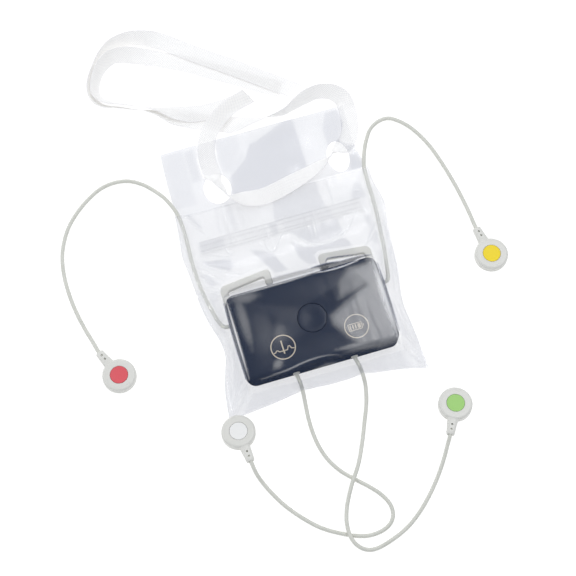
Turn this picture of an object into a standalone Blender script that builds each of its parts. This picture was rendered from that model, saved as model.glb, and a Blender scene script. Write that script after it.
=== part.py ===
"""A holter monitor: a small heart recorder in a clear pouch, with a neck strap and four lead wires.

Metres, +Z up. The origin lies on the table under the middle of the recorder, +X is the recorder's
right-hand side and +Y its top side, where the strap hooks are and where the pouch has its header.
"""

from math import cos, hypot, radians, sin

import bmesh
import bpy
from mathutils import Matrix, Vector

# General fits
FIT_GAP = 0.0003
CUT_OVERRUN = 0.001
MERGE_DISTANCE = 0.00001
TABLE_GAP = 0.00005

# Recorder casing
CASE_WIDTH = 0.0868
CASE_DEPTH = 0.0510
CASE_HEIGHT = 0.0138
CASE_CORNER_RADIUS = 0.0055
REAR_HEIGHT = 0.0028
REAR_FLOOR = 0.0016
REAR_RIM = 0.0012
FRONT_INSET = 0.0004
FRONT_WALL = 0.0018
FRONT_FACE = 0.0016
FRONT_EDGE_RADIUS = 0.0032
GASKET_WIDTH = 0.0010

# Strap hooks on the rear cover
HOOK_BAR = 0.0040
HOOK_HEIGHT = 0.0036
HOOK_LIFT = 0.0008
HOOK_SLOT = 0.0044
HOOK_RISE = 0.0024
HOOK_INNER_X = 0.0140
HOOK_TIP_GAP = 0.0015
HOOK_CORNER = 0.0035
HOOK_TIP_ROUND = 0.0012

# Board, battery and what the board carries
PAD_THICKNESS = 0.0005
BATTERY_WIDTH = 0.054
BATTERY_DEPTH = 0.033
BATTERY_HEIGHT = 0.0042
BATTERY_EDGE = 0.0012
BOARD_THICKNESS = 0.0008
BOARD_MARGIN = 0.0014
BOARD_CORNER = 0.0030
CHIP_HEIGHT = 0.0010
LED_HEIGHT = 0.0007
LED_SIZE = 0.0030
LIGHT_GUIDE_RADIUS = 0.0014
ICON_X = 0.0207
ICON_Y = -0.0109

# Screws and inserts
SCREW_INSET_X = 0.0065
SCREW_INSET_Y = 0.0062
SCREW_SHAFT_RADIUS = 0.0010
SCREW_HEAD_RADIUS = 0.0020
SCREW_HEAD_HEIGHT = 0.0010
INSERT_WALL = 0.0006
INSERT_HEIGHT = 0.0028
BOSS_WALL = 0.0009

# Event button and its switch
BUTTON_RADIUS = 0.0080
BUTTON_SINK = 0.0002
BUTTON_DISH = 0.0004
BUTTON_FLANGE = 0.0008
BUTTON_FLANGE_THICKNESS = 0.0007
BUTTON_TRAVEL = 0.0008
SWITCH_SIZE = 0.0060
SWITCH_HEIGHT = 0.0016
PLUNGER_RADIUS = 0.0016

# Dock contacts in the rear cover
DOCK_PIN_RADIUS = 0.0013
DOCK_PIN_SPACING = 0.0080
DOCK_PIN_Y = -0.0120
DOCK_PIN_PROUD = 0.0001

# Leads and grommets
LEAD_DIAMETER = 0.0022
LEAD_SIDE_EXIT_Y = 0.0100
LEAD_BOTTOM_EXIT_X = 0.0165
LEAD_EXIT_ABOVE_SEAM = 0.0025
LEAD_TAIL_INSIDE = 0.0025
GROMMET_WALL = 0.0006
GROMMET_FLANGE = 0.0007
GROMMET_FLANGE_THICKNESS = 0.0009
LEAD_POINT_SPACING = 0.0060

# Snap clips
CLIP_RADIUS = 0.00925
CLIP_HEIGHT = 0.0050
CLIP_TOP_ROUND = 0.0016
CLIP_FOOT_ROUND = 0.0004
DISC_RADIUS = 0.00485
DISC_THICKNESS = 0.0010
SOCKET_RADIUS = 0.0040
SOCKET_HEIGHT = 0.0024
SOCKET_WALL = 0.0008
SOCKET_MOUTH_RADIUS = 0.0021
SOCKET_LIP = 0.0006
TAIL_REACH = 0.0175
TAIL_ROOT_WIDTH = 0.0060
TAIL_TIP_WIDTH = 0.0044
TAIL_TIP_HEIGHT = 0.0040
TAIL_LIFT = 0.0005
TAIL_BORE_DEPTH = 0.0060
TAIL_EDGE = 0.0006
CLIP_LEAN_HEADING = radians(73.5)

# Pouch
FILM = 0.0003
POUCH_SIDE_ROOM = 0.0116
POUCH_BOTTOM_Y = -0.0345
POUCH_TOP_Y = 0.1190
POUCH_BOTTOM_SAG = 0.0028
MOUTH_Y = 0.0815
HOLE_LEFT_MARGIN = 0.0266
HOLE_RIGHT_MARGIN = 0.0114
HOLE_Y = 0.0910
HOLE_LEFT_RADIUS = 0.0080
HOLE_RIGHT_RADIUS = 0.0086
HOLE_RIGHT_NARROWING = 0.0012
ZIP_Y = 0.0590
ZIP_HALF_LENGTH = 0.0470
ZIP_WIDTH = 0.0076
ZIP_THICKNESS = 0.0005
FILM_SLACK = 0.0006

# Neck strap
STRAP_WIDTH = 0.0100
STRAP_THICKNESS = 0.0006
STRAP_ROW_SPACING = 0.0035

# Heights that follow from the sizes above
REAR_Z = FILM + FIT_GAP
REAR_TOP_Z = REAR_Z + REAR_HEIGHT
FLOOR_Z = REAR_Z + REAR_FLOOR
FRONT_Z = REAR_TOP_Z + FIT_GAP
TOP_Z = REAR_Z + CASE_HEIGHT
CEILING_Z = TOP_Z - FRONT_FACE
PAD_Z = FLOOR_Z + FIT_GAP
BATTERY_Z = PAD_Z + PAD_THICKNESS + FIT_GAP
BOARD_Z = BATTERY_Z + BATTERY_HEIGHT + FIT_GAP
BOARD_TOP_Z = BOARD_Z + BOARD_THICKNESS
CHIP_Z = BOARD_TOP_Z + FIT_GAP
LEAD_EXIT_Z = FRONT_Z + LEAD_EXIT_ABOVE_SEAM
LEAD_RADIUS = LEAD_DIAMETER / 2
GROMMET_BORE = LEAD_RADIUS + FIT_GAP
GROMMET_RADIUS = GROMMET_BORE + GROMMET_WALL
FRONT_HALF_WIDTH = CASE_WIDTH / 2 - FRONT_INSET
FRONT_HALF_DEPTH = CASE_DEPTH / 2 - FRONT_INSET
SCREW_X = CASE_WIDTH / 2 - SCREW_INSET_X
SCREW_Y = CASE_DEPTH / 2 - SCREW_INSET_Y
SCREW_BORE = SCREW_SHAFT_RADIUS + FIT_GAP
INSERT_RADIUS = SCREW_BORE + INSERT_WALL
BOSS_RADIUS = INSERT_RADIUS + FIT_GAP + BOSS_WALL
POUCH_HALF_WIDTH = CASE_WIDTH / 2 + POUCH_SIDE_ROOM
HOLE_SPACING = 2 * POUCH_HALF_WIDTH - HOLE_LEFT_MARGIN - HOLE_RIGHT_MARGIN
HOLE_MIDDLE_X = (HOLE_LEFT_MARGIN - HOLE_RIGHT_MARGIN) / 2

# Heights of the strap's layers over the table
STRAP_LAYER = STRAP_THICKNESS + FIT_GAP
HEADER_RISE = STRAP_LAYER + FIT_GAP
HEADER_TIP_RISE = HEADER_RISE + STRAP_LAYER + FIT_GAP / 2

# Colours as the finished object shows them
NAVY = "343D4F"
BEIGE = "DEDDD6"
CABLE_GREY = "D7D8D0"
CLIP_GREY = "CFCEC8"
CLEAR_FILM = "E1E4EC"
STRAP_WHITE = "F4F5F7"
CLIP_COLOURS = {"red": "D95F6B", "yellow": "F0DA3C", "green": "A3D482", "white": "E8E8E6"}

# Where each clip lies (middle of its foot), which way its tail points, and how far it leans
CLIPS = {
    "red": {"place": (-0.1090, 0.0010), "heading": radians(115), "lean": radians(4)},
    "yellow": {"place": (0.1070, 0.0090), "heading": radians(99.5), "lean": radians(4)},
    "white": {"place": (-0.0555, -0.0475), "heading": radians(-83.7), "lean": radians(8)},
    "green": {"place": (0.0610, -0.0660), "heading": radians(-117.9), "lean": radians(8)},
}

# Routes of the four leads from the casing to their clips: points of the middle of each wire
ROUTES = {
    "red": [
        (-0.0449, 0.0101, 0.0061),
        (-0.0472, 0.0111, 0.0051),
        (-0.0488, 0.0145, 0.0032),
        (-0.0502, 0.0200, 0.0020),
        (-0.0522, 0.0300, 0.0018),
        (-0.0535, 0.0400, 0.0018),
        (-0.0540, 0.0520, 0.0018),
        (-0.0535, 0.0640, 0.0018),
        (-0.0535, 0.0750, 0.0024),
        (-0.0548, 0.0835, 0.0034),
        (-0.0585, 0.0925, 0.0032),
        (-0.0635, 0.1000, 0.0015),
        (-0.0690, 0.1055, 0.0012),
        (-0.0760, 0.1095, 0.0012),
        (-0.0845, 0.1107, 0.0012),
        (-0.0930, 0.1090, 0.0012),
        (-0.1020, 0.1040, 0.0012),
        (-0.1100, 0.0975, 0.0012),
        (-0.1160, 0.0905, 0.0012),
        (-0.1205, 0.0820, 0.0012),
        (-0.1230, 0.0740, 0.0012),
        (-0.1242, 0.0640, 0.0012),
        (-0.1240, 0.0530, 0.0012),
        (-0.1228, 0.0430, 0.0012),
        (-0.1207, 0.0330, 0.0012),
        (-0.1182, 0.0240, 0.0013),
    ],
    "yellow": [
        (0.0449, 0.0101, 0.0061),
        (0.0471, 0.0113, 0.0051),
        (0.0485, 0.0150, 0.0032),
        (0.0497, 0.0205, 0.0020),
        (0.0513, 0.0310, 0.0018),
        (0.0525, 0.0420, 0.0018),
        (0.0535, 0.0520, 0.0018),
        (0.0540, 0.0630, 0.0018),
        (0.0541, 0.0720, 0.0022),
        (0.0548, 0.0795, 0.0030),
        (0.0568, 0.0860, 0.0034),
        (0.0592, 0.0915, 0.0026),
        (0.0620, 0.0965, 0.0013),
        (0.0655, 0.1010, 0.0012),
        (0.0710, 0.1040, 0.0012),
        (0.0768, 0.1043, 0.0012),
        (0.0820, 0.1012, 0.0012),
        (0.0868, 0.0962, 0.0012),
        (0.0910, 0.0895, 0.0012),
        (0.0947, 0.0812, 0.0012),
        (0.0974, 0.0722, 0.0012),
        (0.0998, 0.0620, 0.0012),
        (0.1018, 0.0510, 0.0012),
        (0.1033, 0.0390, 0.0013),
    ],
    "white": [
        (-0.0164, -0.0270, 0.0061),
        (-0.0160, -0.0296, 0.0051),
        (-0.0157, -0.0325, 0.0033),
        (-0.0158, -0.0365, 0.0021),
        (-0.0163, -0.0420, 0.0013),
        (-0.0170, -0.0500, 0.0012),
        (-0.0170, -0.0585, 0.0012),
        (-0.0158, -0.0672, 0.0012),
        (-0.0132, -0.0750, 0.0012),
        (-0.0088, -0.0822, 0.0012),
        (-0.0032, -0.0882, 0.0012),
        (0.0028, -0.0940, 0.0012),
        (0.0080, -0.1000, 0.0012),
        (0.0112, -0.1062, 0.0012),
        (0.0113, -0.1120, 0.0012),
        (0.0086, -0.1163, 0.0012),
        (0.0035, -0.1188, 0.0012),
        (-0.0030, -0.1194, 0.0012),
        (-0.0090, -0.1182, 0.0012),
        (-0.0165, -0.1150, 0.0012),
        (-0.0268, -0.1088, 0.0012),
        (-0.0352, -0.1008, 0.0012),
        (-0.0428, -0.0912, 0.0012),
        (-0.0488, -0.0805, 0.0020),
        (-0.0522, -0.0720, 0.0042),
    ],
    "green": [
        (0.0167, -0.0270, 0.0061),
        (0.0174, -0.0296, 0.0051),
        (0.0180, -0.0325, 0.0033),
        (0.0183, -0.0370, 0.0021),
        (0.0177, -0.0430, 0.0013),
        (0.0155, -0.0510, 0.0012),
        (0.0112, -0.0612, 0.0012),
        (0.0065, -0.0718, 0.0020),
        (0.0012, -0.0820, 0.0034),
        (-0.0048, -0.0905, 0.0036),
        (-0.0092, -0.0978, 0.0032),
        (-0.0122, -0.1042, 0.0032),
        (-0.0140, -0.1108, 0.0036),
        (-0.0140, -0.1178, 0.0036),
        (-0.0115, -0.1232, 0.0028),
        (-0.0070, -0.1264, 0.0017),
        (-0.0010, -0.1268, 0.0012),
        (0.0080, -0.1245, 0.0012),
        (0.0170, -0.1207, 0.0012),
        (0.0253, -0.1150, 0.0012),
        (0.0330, -0.1080, 0.0012),
        (0.0402, -0.1000, 0.0012),
        (0.0460, -0.0922, 0.0022),
        (0.0500, -0.0858, 0.0043),
    ],
}

# Half the pouch's width, as shares of its nominal half width, against shares of the way up
POUCH_SIDE_SHARES = [
    (0, 1.01),
    (0.19, 0.97),
    (0.27, 0.97),
    (0.36, 0.99),
    (0.44, 1.025),
    (0.6, 1.075),
    (0.7, 1.045),
    (0.78, 1.02),
    (0.88, 0.985),
    (1, 1),
]

# Columns of the films: 0 is the middle, 1 the casing's side and 2 the weld. Rows: 0 is the lower weld, 1 and 2 the
# casing's lower and upper sides, and 3 the film's upper edge.
BACK_COLUMN_SHARES = [0, 0.5, 1, 2]
BACK_ROW_SHARES = [0, 1, 1.5, 2, 2.2, 2.4, 2.5, 2.56, 2.62, 2.7, 2.76, 2.82, 2.88, 2.94, 3]
FRONT_COLUMN_SHARES = [0, 0.2, 0.33, 0.39, 0.45, 0.65, 0.88, 1, 1.1, 1.25, 1.4, 1.55, 1.7, 1.85, 2]
FRONT_ROW_SHARES = [0, 0.25, 0.5, 0.75, 1, 1.12, 1.5, 1.88, 2, 2.07, 2.15, 2.25, 2.36, 2.48, 2.6, 2.7, 2.8, 2.9, 3]

# The strap's middle line in shares of half the hole spacing from the point midway between the holes, its roll
# in degrees (0 is flat), and how many strap layers its lower edge lies above the table
STRAP_OUTER_SHARES = [
    (0.84, 1.09, 0, 0),
    (0.66, 1.235, 0, 0.6),
    (0.29, 1.53, 0, 1),
    (-0.24, 1.95, 0, 1),
    (-0.69, 2.29, 0, 1),
    (-0.98, 2.52, 0, 1),
    (-1.22, 2.69, -12, 0.8),
    (-1.47, 2.79, -42, 0.2),
    (-1.72, 2.84, -60, 0),
    (-1.97, 2.80, -66, 0),
    (-2.18, 2.66, -72, 0),
    (-2.34, 2.46, -74, 0),
    (-2.44, 2.29, -70, 0),
    (-2.49, 2.14, -65, 0),
    (-2.49, 1.99, -62, 0),
    (-2.44, 1.88, -60, 0),
    (-2.34, 1.80, -60, 0),
    (-2.16, 1.73, -62, 0),
    (-1.97, 1.64, -66, 0),
    (-1.77, 1.56, -68, 0),
    (-1.55, 1.46, -48, 0),
    (-1.33, 1.34, -12, 0),
    (-1.09, 1.23, 0, 0),
    (-0.85, 1.12, 0, 0),
    (-0.50, 0.98, 0, 0),
    (-0.25, 0.93, -38, 0),
    (0.02, 0.90, -65, 0),
    (0.33, 0.90, -90, 0),
    (0.54, 0.97, -105, 0.9),
    (0.74, 1.04, -118, 1.1),
    (0.96, 1.08, -122, 0.9),
    (1.17, 1.03, -132, 0.2),
    (1.32, 0.90, -158, 0),
    (1.35, 0.72, -180, 0),
    (1.33, 0.52, -180, 0),
    (1.28, 0.34, -180, 0),
    (1.20, 0.20, -180, 0),
    (1.09, 0.11, -176, 0),
    (0.99, 0.05, -140, 0.1),
    (0.88, -0.01, -98, 0.8),
    (0.79, -0.06, -112, 2.9),
    (0.67, -0.11, -130, 2.9),
    (0.49, -0.18, -150, 2.9),
    (0.22, -0.24, -168, 2.9),
    (-0.09, -0.31, -180, 2.9),
    (-0.37, -0.35, -180, 2.9),
    (-0.61, -0.32, -165, 2.9),
    (-0.78, -0.27, -132, 2.9),
    (-0.92, -0.15, -97, 0.9),
    (-0.95, -0.04, -130, 0.1),
    (-0.99, 0.08, -172, 0),
    (-1.01, 0.20, -180, 0),
    (-1.02, 0.36, -180, 0),
    (-1.02, 0.53, -180, 0.1),
    (-0.98, 0.72, -180, 1),
    (-0.88, 0.92, -180, 2),
    (-0.68, 1.12, -180, 2),
    (-0.42, 1.27, -180, 2),
    (-0.10, 1.37, -180, 2),
]
STRAP_INNER_SHARES = [
    (-0.10, 1.37, 0, 1),
    (-0.43, 1.30, 0, 1),
    (-0.77, 1.29, 0, 1),
    (-1.07, 1.33, 0, 1),
    (-1.32, 1.41, 25, 0.9),
    (-1.53, 1.51, 55, 0.4),
    (-1.74, 1.61, 68, 0),
    (-1.94, 1.70, 66, 0),
    (-2.13, 1.79, 62, 0),
    (-2.30, 1.87, 60, 0),
    (-2.38, 1.94, 60, 0),
    (-2.43, 2.03, 62, 0),
    (-2.43, 2.14, 65, 0),
    (-2.38, 2.27, 68, 0),
    (-2.30, 2.41, 66, 0),
    (-2.18, 2.53, 62, 0),
    (-2.00, 2.61, 56, 0),
    (-1.77, 2.58, 36, 0),
    (-1.53, 2.50, 13, 0),
    (-1.28, 2.39, 0, 0),
    (-0.88, 2.18, 0, 0),
    (-0.54, 1.96, 0, 0),
    (-0.22, 1.76, 0, 0),
    (0.13, 1.52, 0, 0),
    (0.44, 1.34, 0, 0),
]
STRAP_FOLD_HEADING = radians(-63.4)


def linear(channel):
    """One sRGB channel, 0 to 1, as linear light."""
    return channel / 12.92 if channel <= 0.04045 else ((channel + 0.055) / 1.055) ** 2.4


def material(name, colour, roughness, metallic=0.0, alpha=1.0):
    made = bpy.data.materials.get(name)
    if made:
        return made
    made = bpy.data.materials.new(name)
    made.use_nodes = True
    shader = made.node_tree.nodes["Principled BSDF"]
    channels = [linear(int(colour[i : i + 2], 16) / 255) for i in (0, 2, 4)]
    shader.inputs["Base Color"].default_value = (*channels, 1)
    shader.inputs["Roughness"].default_value = roughness
    shader.inputs["Metallic"].default_value = metallic
    shader.inputs["Alpha"].default_value = alpha
    made.diffuse_color = (*channels, 1)
    return made


def clear_scene():
    for obj in list(bpy.data.objects):
        bpy.data.objects.remove(obj, do_unlink=True)


def collection(name):
    made = bpy.data.collections.new(name)
    bpy.context.scene.collection.children.link(made)
    return made


def add_object(name, mesh, finish=None):
    """A part where finish is a material, and a cutter where it is None."""
    obj = bpy.data.objects.new(name, mesh)
    if finish is None:
        CUTTERS.objects.link(obj)
        obj.hide_render = True
        obj.display_type = "WIRE"
    else:
        PARTS.objects.link(obj)
        mesh.materials.append(finish)
    return obj


def mesh_from(name, bm):
    bmesh.ops.recalc_face_normals(bm, faces=bm.faces)
    mesh = bpy.data.meshes.new(name)
    bm.to_mesh(mesh)
    bm.free()
    return mesh


def rounded_box(name, size, low, corner=0.0, top=0.0, finish=None, segments=4):
    """A box with its lowest corner plane at low, vertical edges of radius corner and top edges of radius top."""
    bm = bmesh.new()
    bmesh.ops.create_cube(bm, size=1)
    bmesh.ops.scale(bm, vec=Vector(size), verts=bm.verts)
    bmesh.ops.translate(bm, vec=Vector(low) + Vector((0, 0, size[2] / 2)), verts=bm.verts)
    if corner:
        upright = [e for e in bm.edges if abs(e.verts[0].co.z - e.verts[1].co.z) > size[2] / 2]
        bmesh.ops.bevel(bm, geom=upright, offset=corner, segments=segments, profile=0.5, affect="EDGES")
    if top:
        level = low[2] + size[2]
        rim = [e for e in bm.edges if all(abs(v.co.z - level) < MERGE_DISTANCE for v in e.verts)]
        bmesh.ops.bevel(bm, geom=rim, offset=top, segments=segments, profile=0.5, affect="EDGES")
    return add_object(name, mesh_from(name, bm), finish)


def disc(name, radius, low, high, place=(0, 0), finish=None, sides=24, narrowing=0.0):
    """A plain cylinder, or an oval one that is narrower along X by narrowing on each side."""
    bm = bmesh.new()
    bmesh.ops.create_cone(
        bm, cap_ends=True, cap_tris=False, segments=sides, radius1=radius, radius2=radius, depth=high - low
    )
    bmesh.ops.scale(bm, vec=Vector(((radius - narrowing) / radius, 1, 1)), verts=bm.verts)
    bmesh.ops.translate(bm, vec=Vector((*place, (low + high) / 2)), verts=bm.verts)
    return add_object(name, mesh_from(name, bm), finish)


def turned(name, profile, finish=None, steps=24, closed=False):
    """A profile of (radius, height) points, outer side from top to bottom, turned round Z."""
    mesh = bpy.data.meshes.new(name)
    edges = [(i, i + 1) for i in range(len(profile) - 1)]
    if closed:
        edges.append((len(profile) - 1, 0))
    mesh.from_pydata([(r, 0, z) for r, z in profile], edges, [])
    obj = add_object(name, mesh, finish)
    screw = obj.modifiers.new("Turn", "SCREW")
    screw.steps = steps
    screw.render_steps = steps
    screw.use_merge_vertices = True
    screw.merge_threshold = MERGE_DISTANCE
    return obj


def arc(centre, radius, start, end, steps=4):
    """Points of a circular arc from start to end degrees, both ends included."""
    return [
        (
            centre[0] + radius * cos(radians(start + (end - start) * i / steps)),
            centre[1] + radius * sin(radians(start + (end - start) * i / steps)),
        )
        for i in range(steps + 1)
    ]


def plate(name, outline, low, high, finish=None):
    """A flat outline filled and extruded from low to high."""
    curve = bpy.data.curves.new(name, "CURVE")
    curve.dimensions = "2D"
    curve.fill_mode = "BOTH"
    curve.extrude = (high - low) / 2
    spline = curve.splines.new("POLY")
    spline.points.add(len(outline) - 1)
    for point, (x, y) in zip(spline.points, outline):
        point.co = (x, y, 0, 1)
    spline.use_cyclic_u = True
    guide = bpy.data.objects.new(name + "_outline", curve)
    CUTTERS.objects.link(guide)
    mesh = bpy.data.meshes.new_from_object(guide.evaluated_get(bpy.context.evaluated_depsgraph_get()))
    bpy.data.objects.remove(guide, do_unlink=True)
    bpy.data.curves.remove(curve)
    bm = bmesh.new()
    bm.from_mesh(mesh)
    bpy.data.meshes.remove(mesh)
    bmesh.ops.remove_doubles(bm, verts=bm.verts, dist=MERGE_DISTANCE)
    bmesh.ops.translate(bm, vec=Vector((0, 0, (low + high) / 2)), verts=bm.verts)
    return add_object(name, mesh_from(name, bm), finish)


def boolean(obj, cutter, operation="DIFFERENCE"):
    change = obj.modifiers.new(cutter.name, "BOOLEAN")
    change.operation = operation
    change.object = cutter
    change.solver = "EXACT"


def shade_round(obj):
    if obj.type == "MESH" and len(obj.data.polygons):
        obj.data.shade_smooth()
        obj.data.set_sharp_from_angle(angle=radians(40))


def smooth_curve(points, spacing, smooth_parts=3):
    """Points about one spacing apart on the ground on a smooth curve through the given ones, ends included.

    What a point holds after its first smooth_parts numbers changes in a straight line between points.
    """
    rows = [Vector(p) for p in points]
    rows = [rows[0] * 2 - rows[1], *rows, rows[-1] * 2 - rows[-2]]
    found = []
    for a, b, c, d in zip(rows, rows[1:], rows[2:], rows[3:]):
        steps = max(1, round((c - b).xy.length / spacing))
        for i in range(steps):
            t = i / steps
            point = 0.5 * (2 * b + (c - a) * t + (2 * a - 5 * b + 4 * c - d) * t**2 + (3 * b - a - 3 * c + d) * t**3)
            for part in range(smooth_parts, len(point)):
                point[part] = b[part] + (c[part] - b[part]) * t
            found.append(point)
    return [*found, rows[-2]]


def smooth_step(t):
    t = min(max(t, 0), 1)
    return t * t * (3 - 2 * t)


# Casing


def rear_cover():
    plastic = material("rear_cover_abs", BEIGE, 0.5)
    size = (CASE_WIDTH, CASE_DEPTH, REAR_HEIGHT)
    cover = rounded_box("rear_cover", size, (0, 0, REAR_Z), CASE_CORNER_RADIUS, finish=plastic)
    for side in (-1, 1):
        boolean(cover, hook(side), "UNION")
    inside = rounded_box(
        "rear_hollow",
        (CASE_WIDTH - 2 * REAR_RIM, CASE_DEPTH - 2 * REAR_RIM, REAR_HEIGHT + CUT_OVERRUN),
        (0, 0, FLOOR_Z),
        CASE_CORNER_RADIUS - REAR_RIM,
    )
    boolean(cover, inside)
    front_room = (CASE_WIDTH, CASE_DEPTH, HOOK_HEIGHT + CUT_OVERRUN)
    boolean(cover, rounded_box("front_room", front_room, (0, 0, REAR_TOP_Z), CASE_CORNER_RADIUS))
    for side in (-1, 1):
        for end in (-1, 1):
            spot = (side * SCREW_X, end * SCREW_Y)
            tag = f"{side}_{end}"
            post = disc(f"rear_boss_{tag}", BOSS_RADIUS, REAR_Z, BOARD_Z - FIT_GAP, spot)
            boolean(cover, post, "UNION")
            bore = disc(f"rear_bore_{tag}", SCREW_BORE, REAR_Z - CUT_OVERRUN, BOARD_Z + CUT_OVERRUN, spot, sides=16)
            boolean(cover, bore)
            sink_top = REAR_Z + SCREW_HEAD_HEIGHT + FIT_GAP
            sink = disc(
                f"rear_sink_{tag}", SCREW_HEAD_RADIUS + FIT_GAP, REAR_Z - CUT_OVERRUN, sink_top, spot, sides=16
            )
            boolean(cover, sink)
    for side in (-1, 1):
        spot = (side * DOCK_PIN_SPACING / 2, DOCK_PIN_Y)
        boolean(
            cover,
            disc(
                f"dock_bore_{side}",
                DOCK_PIN_RADIUS + FIT_GAP,
                REAR_Z - CUT_OVERRUN,
                FLOOR_Z + CUT_OVERRUN,
                spot,
                sides=16,
            ),
        )
    return cover


def hook(side):
    """One strap hook: up from the casing's side, in along its top, rising a little, and down again at the tip."""
    out_x = CASE_WIDTH / 2
    bar_low = CASE_DEPTH / 2 + HOOK_SLOT
    bar_high = bar_low + HOOK_BAR
    root = CASE_DEPTH / 2 - CASE_CORNER_RADIUS
    tip_low = CASE_DEPTH / 2 + HOOK_TIP_GAP
    tip_high = bar_high + HOOK_RISE
    tip_out = HOOK_INNER_X + HOOK_BAR
    inner_x = out_x - HOOK_BAR
    outline = [(inner_x, root), (out_x, root)]
    outline += arc((out_x - HOOK_CORNER, bar_high - HOOK_CORNER), HOOK_CORNER, 0, 90, 6)
    outline += arc((HOOK_INNER_X + HOOK_CORNER, tip_high - HOOK_CORNER), HOOK_CORNER, 90, 180, 6)
    outline += arc((HOOK_INNER_X + HOOK_TIP_ROUND, tip_low + HOOK_TIP_ROUND), HOOK_TIP_ROUND, 180, 270, 3)
    outline += arc((tip_out - HOOK_TIP_ROUND, tip_low + HOOK_TIP_ROUND), HOOK_TIP_ROUND, 270, 360, 3)
    outline += [(tip_out, bar_low + HOOK_RISE)]
    outline += arc((inner_x - HOOK_TIP_ROUND, bar_low - HOOK_TIP_ROUND), HOOK_TIP_ROUND, 90, 0, 3)
    outline = [(side * x, y) for x, y in outline]
    low = REAR_Z + HOOK_LIFT
    return plate(f"hook_{side}", outline, low, low + HOOK_HEIGHT)


def front_cover():
    plastic = material("front_cover_abs", NAVY, 0.32)
    size = (2 * FRONT_HALF_WIDTH, 2 * FRONT_HALF_DEPTH, TOP_Z - FRONT_Z)
    corner = CASE_CORNER_RADIUS - FRONT_INSET
    cover = rounded_box("front_cover", size, (0, 0, FRONT_Z), corner, FRONT_EDGE_RADIUS, plastic)
    inner = (size[0] - 2 * FRONT_WALL, size[1] - 2 * FRONT_WALL, CEILING_Z - FRONT_Z + CUT_OVERRUN)
    hollow = rounded_box(
        "front_hollow",
        inner,
        (0, 0, FRONT_Z - CUT_OVERRUN),
        corner - FRONT_WALL,
        FRONT_EDGE_RADIUS - FRONT_FACE,
        segments=3,
    )
    boolean(cover, hollow)
    for side in (-1, 1):
        for end in (-1, 1):
            spot = (side * SCREW_X, end * SCREW_Y)
            tag = f"{side}_{end}"
            low = CHIP_Z
            post = disc(f"front_boss_{tag}", BOSS_RADIUS, low, CEILING_Z + FRONT_FACE / 2, spot)
            boolean(cover, post, "UNION")
            bore_top = low + INSERT_HEIGHT + FIT_GAP
            bore = disc(f"front_bore_{tag}", INSERT_RADIUS + FIT_GAP, low - CUT_OVERRUN, bore_top, spot, sides=16)
            boolean(cover, bore)
    boolean(cover, disc("button_hole", BUTTON_RADIUS + FIT_GAP, CEILING_Z - CUT_OVERRUN, TOP_Z + CUT_OVERRUN, sides=40))
    for name in CLIPS:
        boolean(cover, wall_hole(name))
    return cover


def lead_exit(name):
    """Where a lead crosses the casing's outside, and the direction it leaves in."""
    if name == "red":
        return Vector((-FRONT_HALF_WIDTH, LEAD_SIDE_EXIT_Y, LEAD_EXIT_Z)), Vector((-1, 0, 0))
    if name == "yellow":
        return Vector((FRONT_HALF_WIDTH, LEAD_SIDE_EXIT_Y, LEAD_EXIT_Z)), Vector((1, 0, 0))
    if name == "white":
        return Vector((-LEAD_BOTTOM_EXIT_X, -FRONT_HALF_DEPTH, LEAD_EXIT_Z)), Vector((0, -1, 0))
    return Vector((LEAD_BOTTOM_EXIT_X, -FRONT_HALF_DEPTH, LEAD_EXIT_Z)), Vector((0, -1, 0))


def point_along(obj, place, direction):
    """Places an object modelled along +Z with that axis along direction."""
    obj.matrix_world = Matrix.Translation(place) @ direction.to_track_quat("Z", "Y").to_matrix().to_4x4()


def wall_hole(name):
    place, direction = lead_exit(name)
    cutter = disc(f"lead_hole_{name}", GROMMET_RADIUS + FIT_GAP, -FRONT_WALL - CUT_OVERRUN, CUT_OVERRUN, sides=16)
    point_along(cutter, place, direction)
    return cutter


def grommet(name):
    """A rubber sleeve in the wall with a flange outside it."""
    flange = GROMMET_FLANGE_THICKNESS + FIT_GAP
    profile = [
        (GROMMET_BORE, flange),
        (GROMMET_RADIUS + GROMMET_FLANGE, flange),
        (GROMMET_RADIUS + GROMMET_FLANGE, FIT_GAP),
        (GROMMET_RADIUS, FIT_GAP),
        (GROMMET_RADIUS, -FRONT_WALL),
        (GROMMET_BORE, -FRONT_WALL),
    ]
    rubber = material("grommet_rubber", CABLE_GREY, 0.7)
    sleeve = turned(f"lead_grommet_{name}", profile, rubber, 16, closed=True)
    place, direction = lead_exit(name)
    point_along(sleeve, place, direction)
    return sleeve


def gasket():
    rubber = material("gasket_silicone", "2A2D33", 0.8)
    outer = (CASE_WIDTH - 2 * (REAR_RIM + FIT_GAP), CASE_DEPTH - 2 * (REAR_RIM + FIT_GAP))
    corner = CASE_CORNER_RADIUS - REAR_RIM - FIT_GAP
    low = FLOOR_Z + FIT_GAP
    ring = rounded_box("seal_gasket", (*outer, REAR_TOP_Z - low), (0, 0, low), corner, finish=rubber)
    bore = rounded_box(
        "gasket_bore",
        (outer[0] - 2 * GASKET_WIDTH, outer[1] - 2 * GASKET_WIDTH, REAR_TOP_Z),
        (0, 0, REAR_Z),
        corner - GASKET_WIDTH,
    )
    boolean(ring, bore)
    return ring


# Inside the casing


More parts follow.
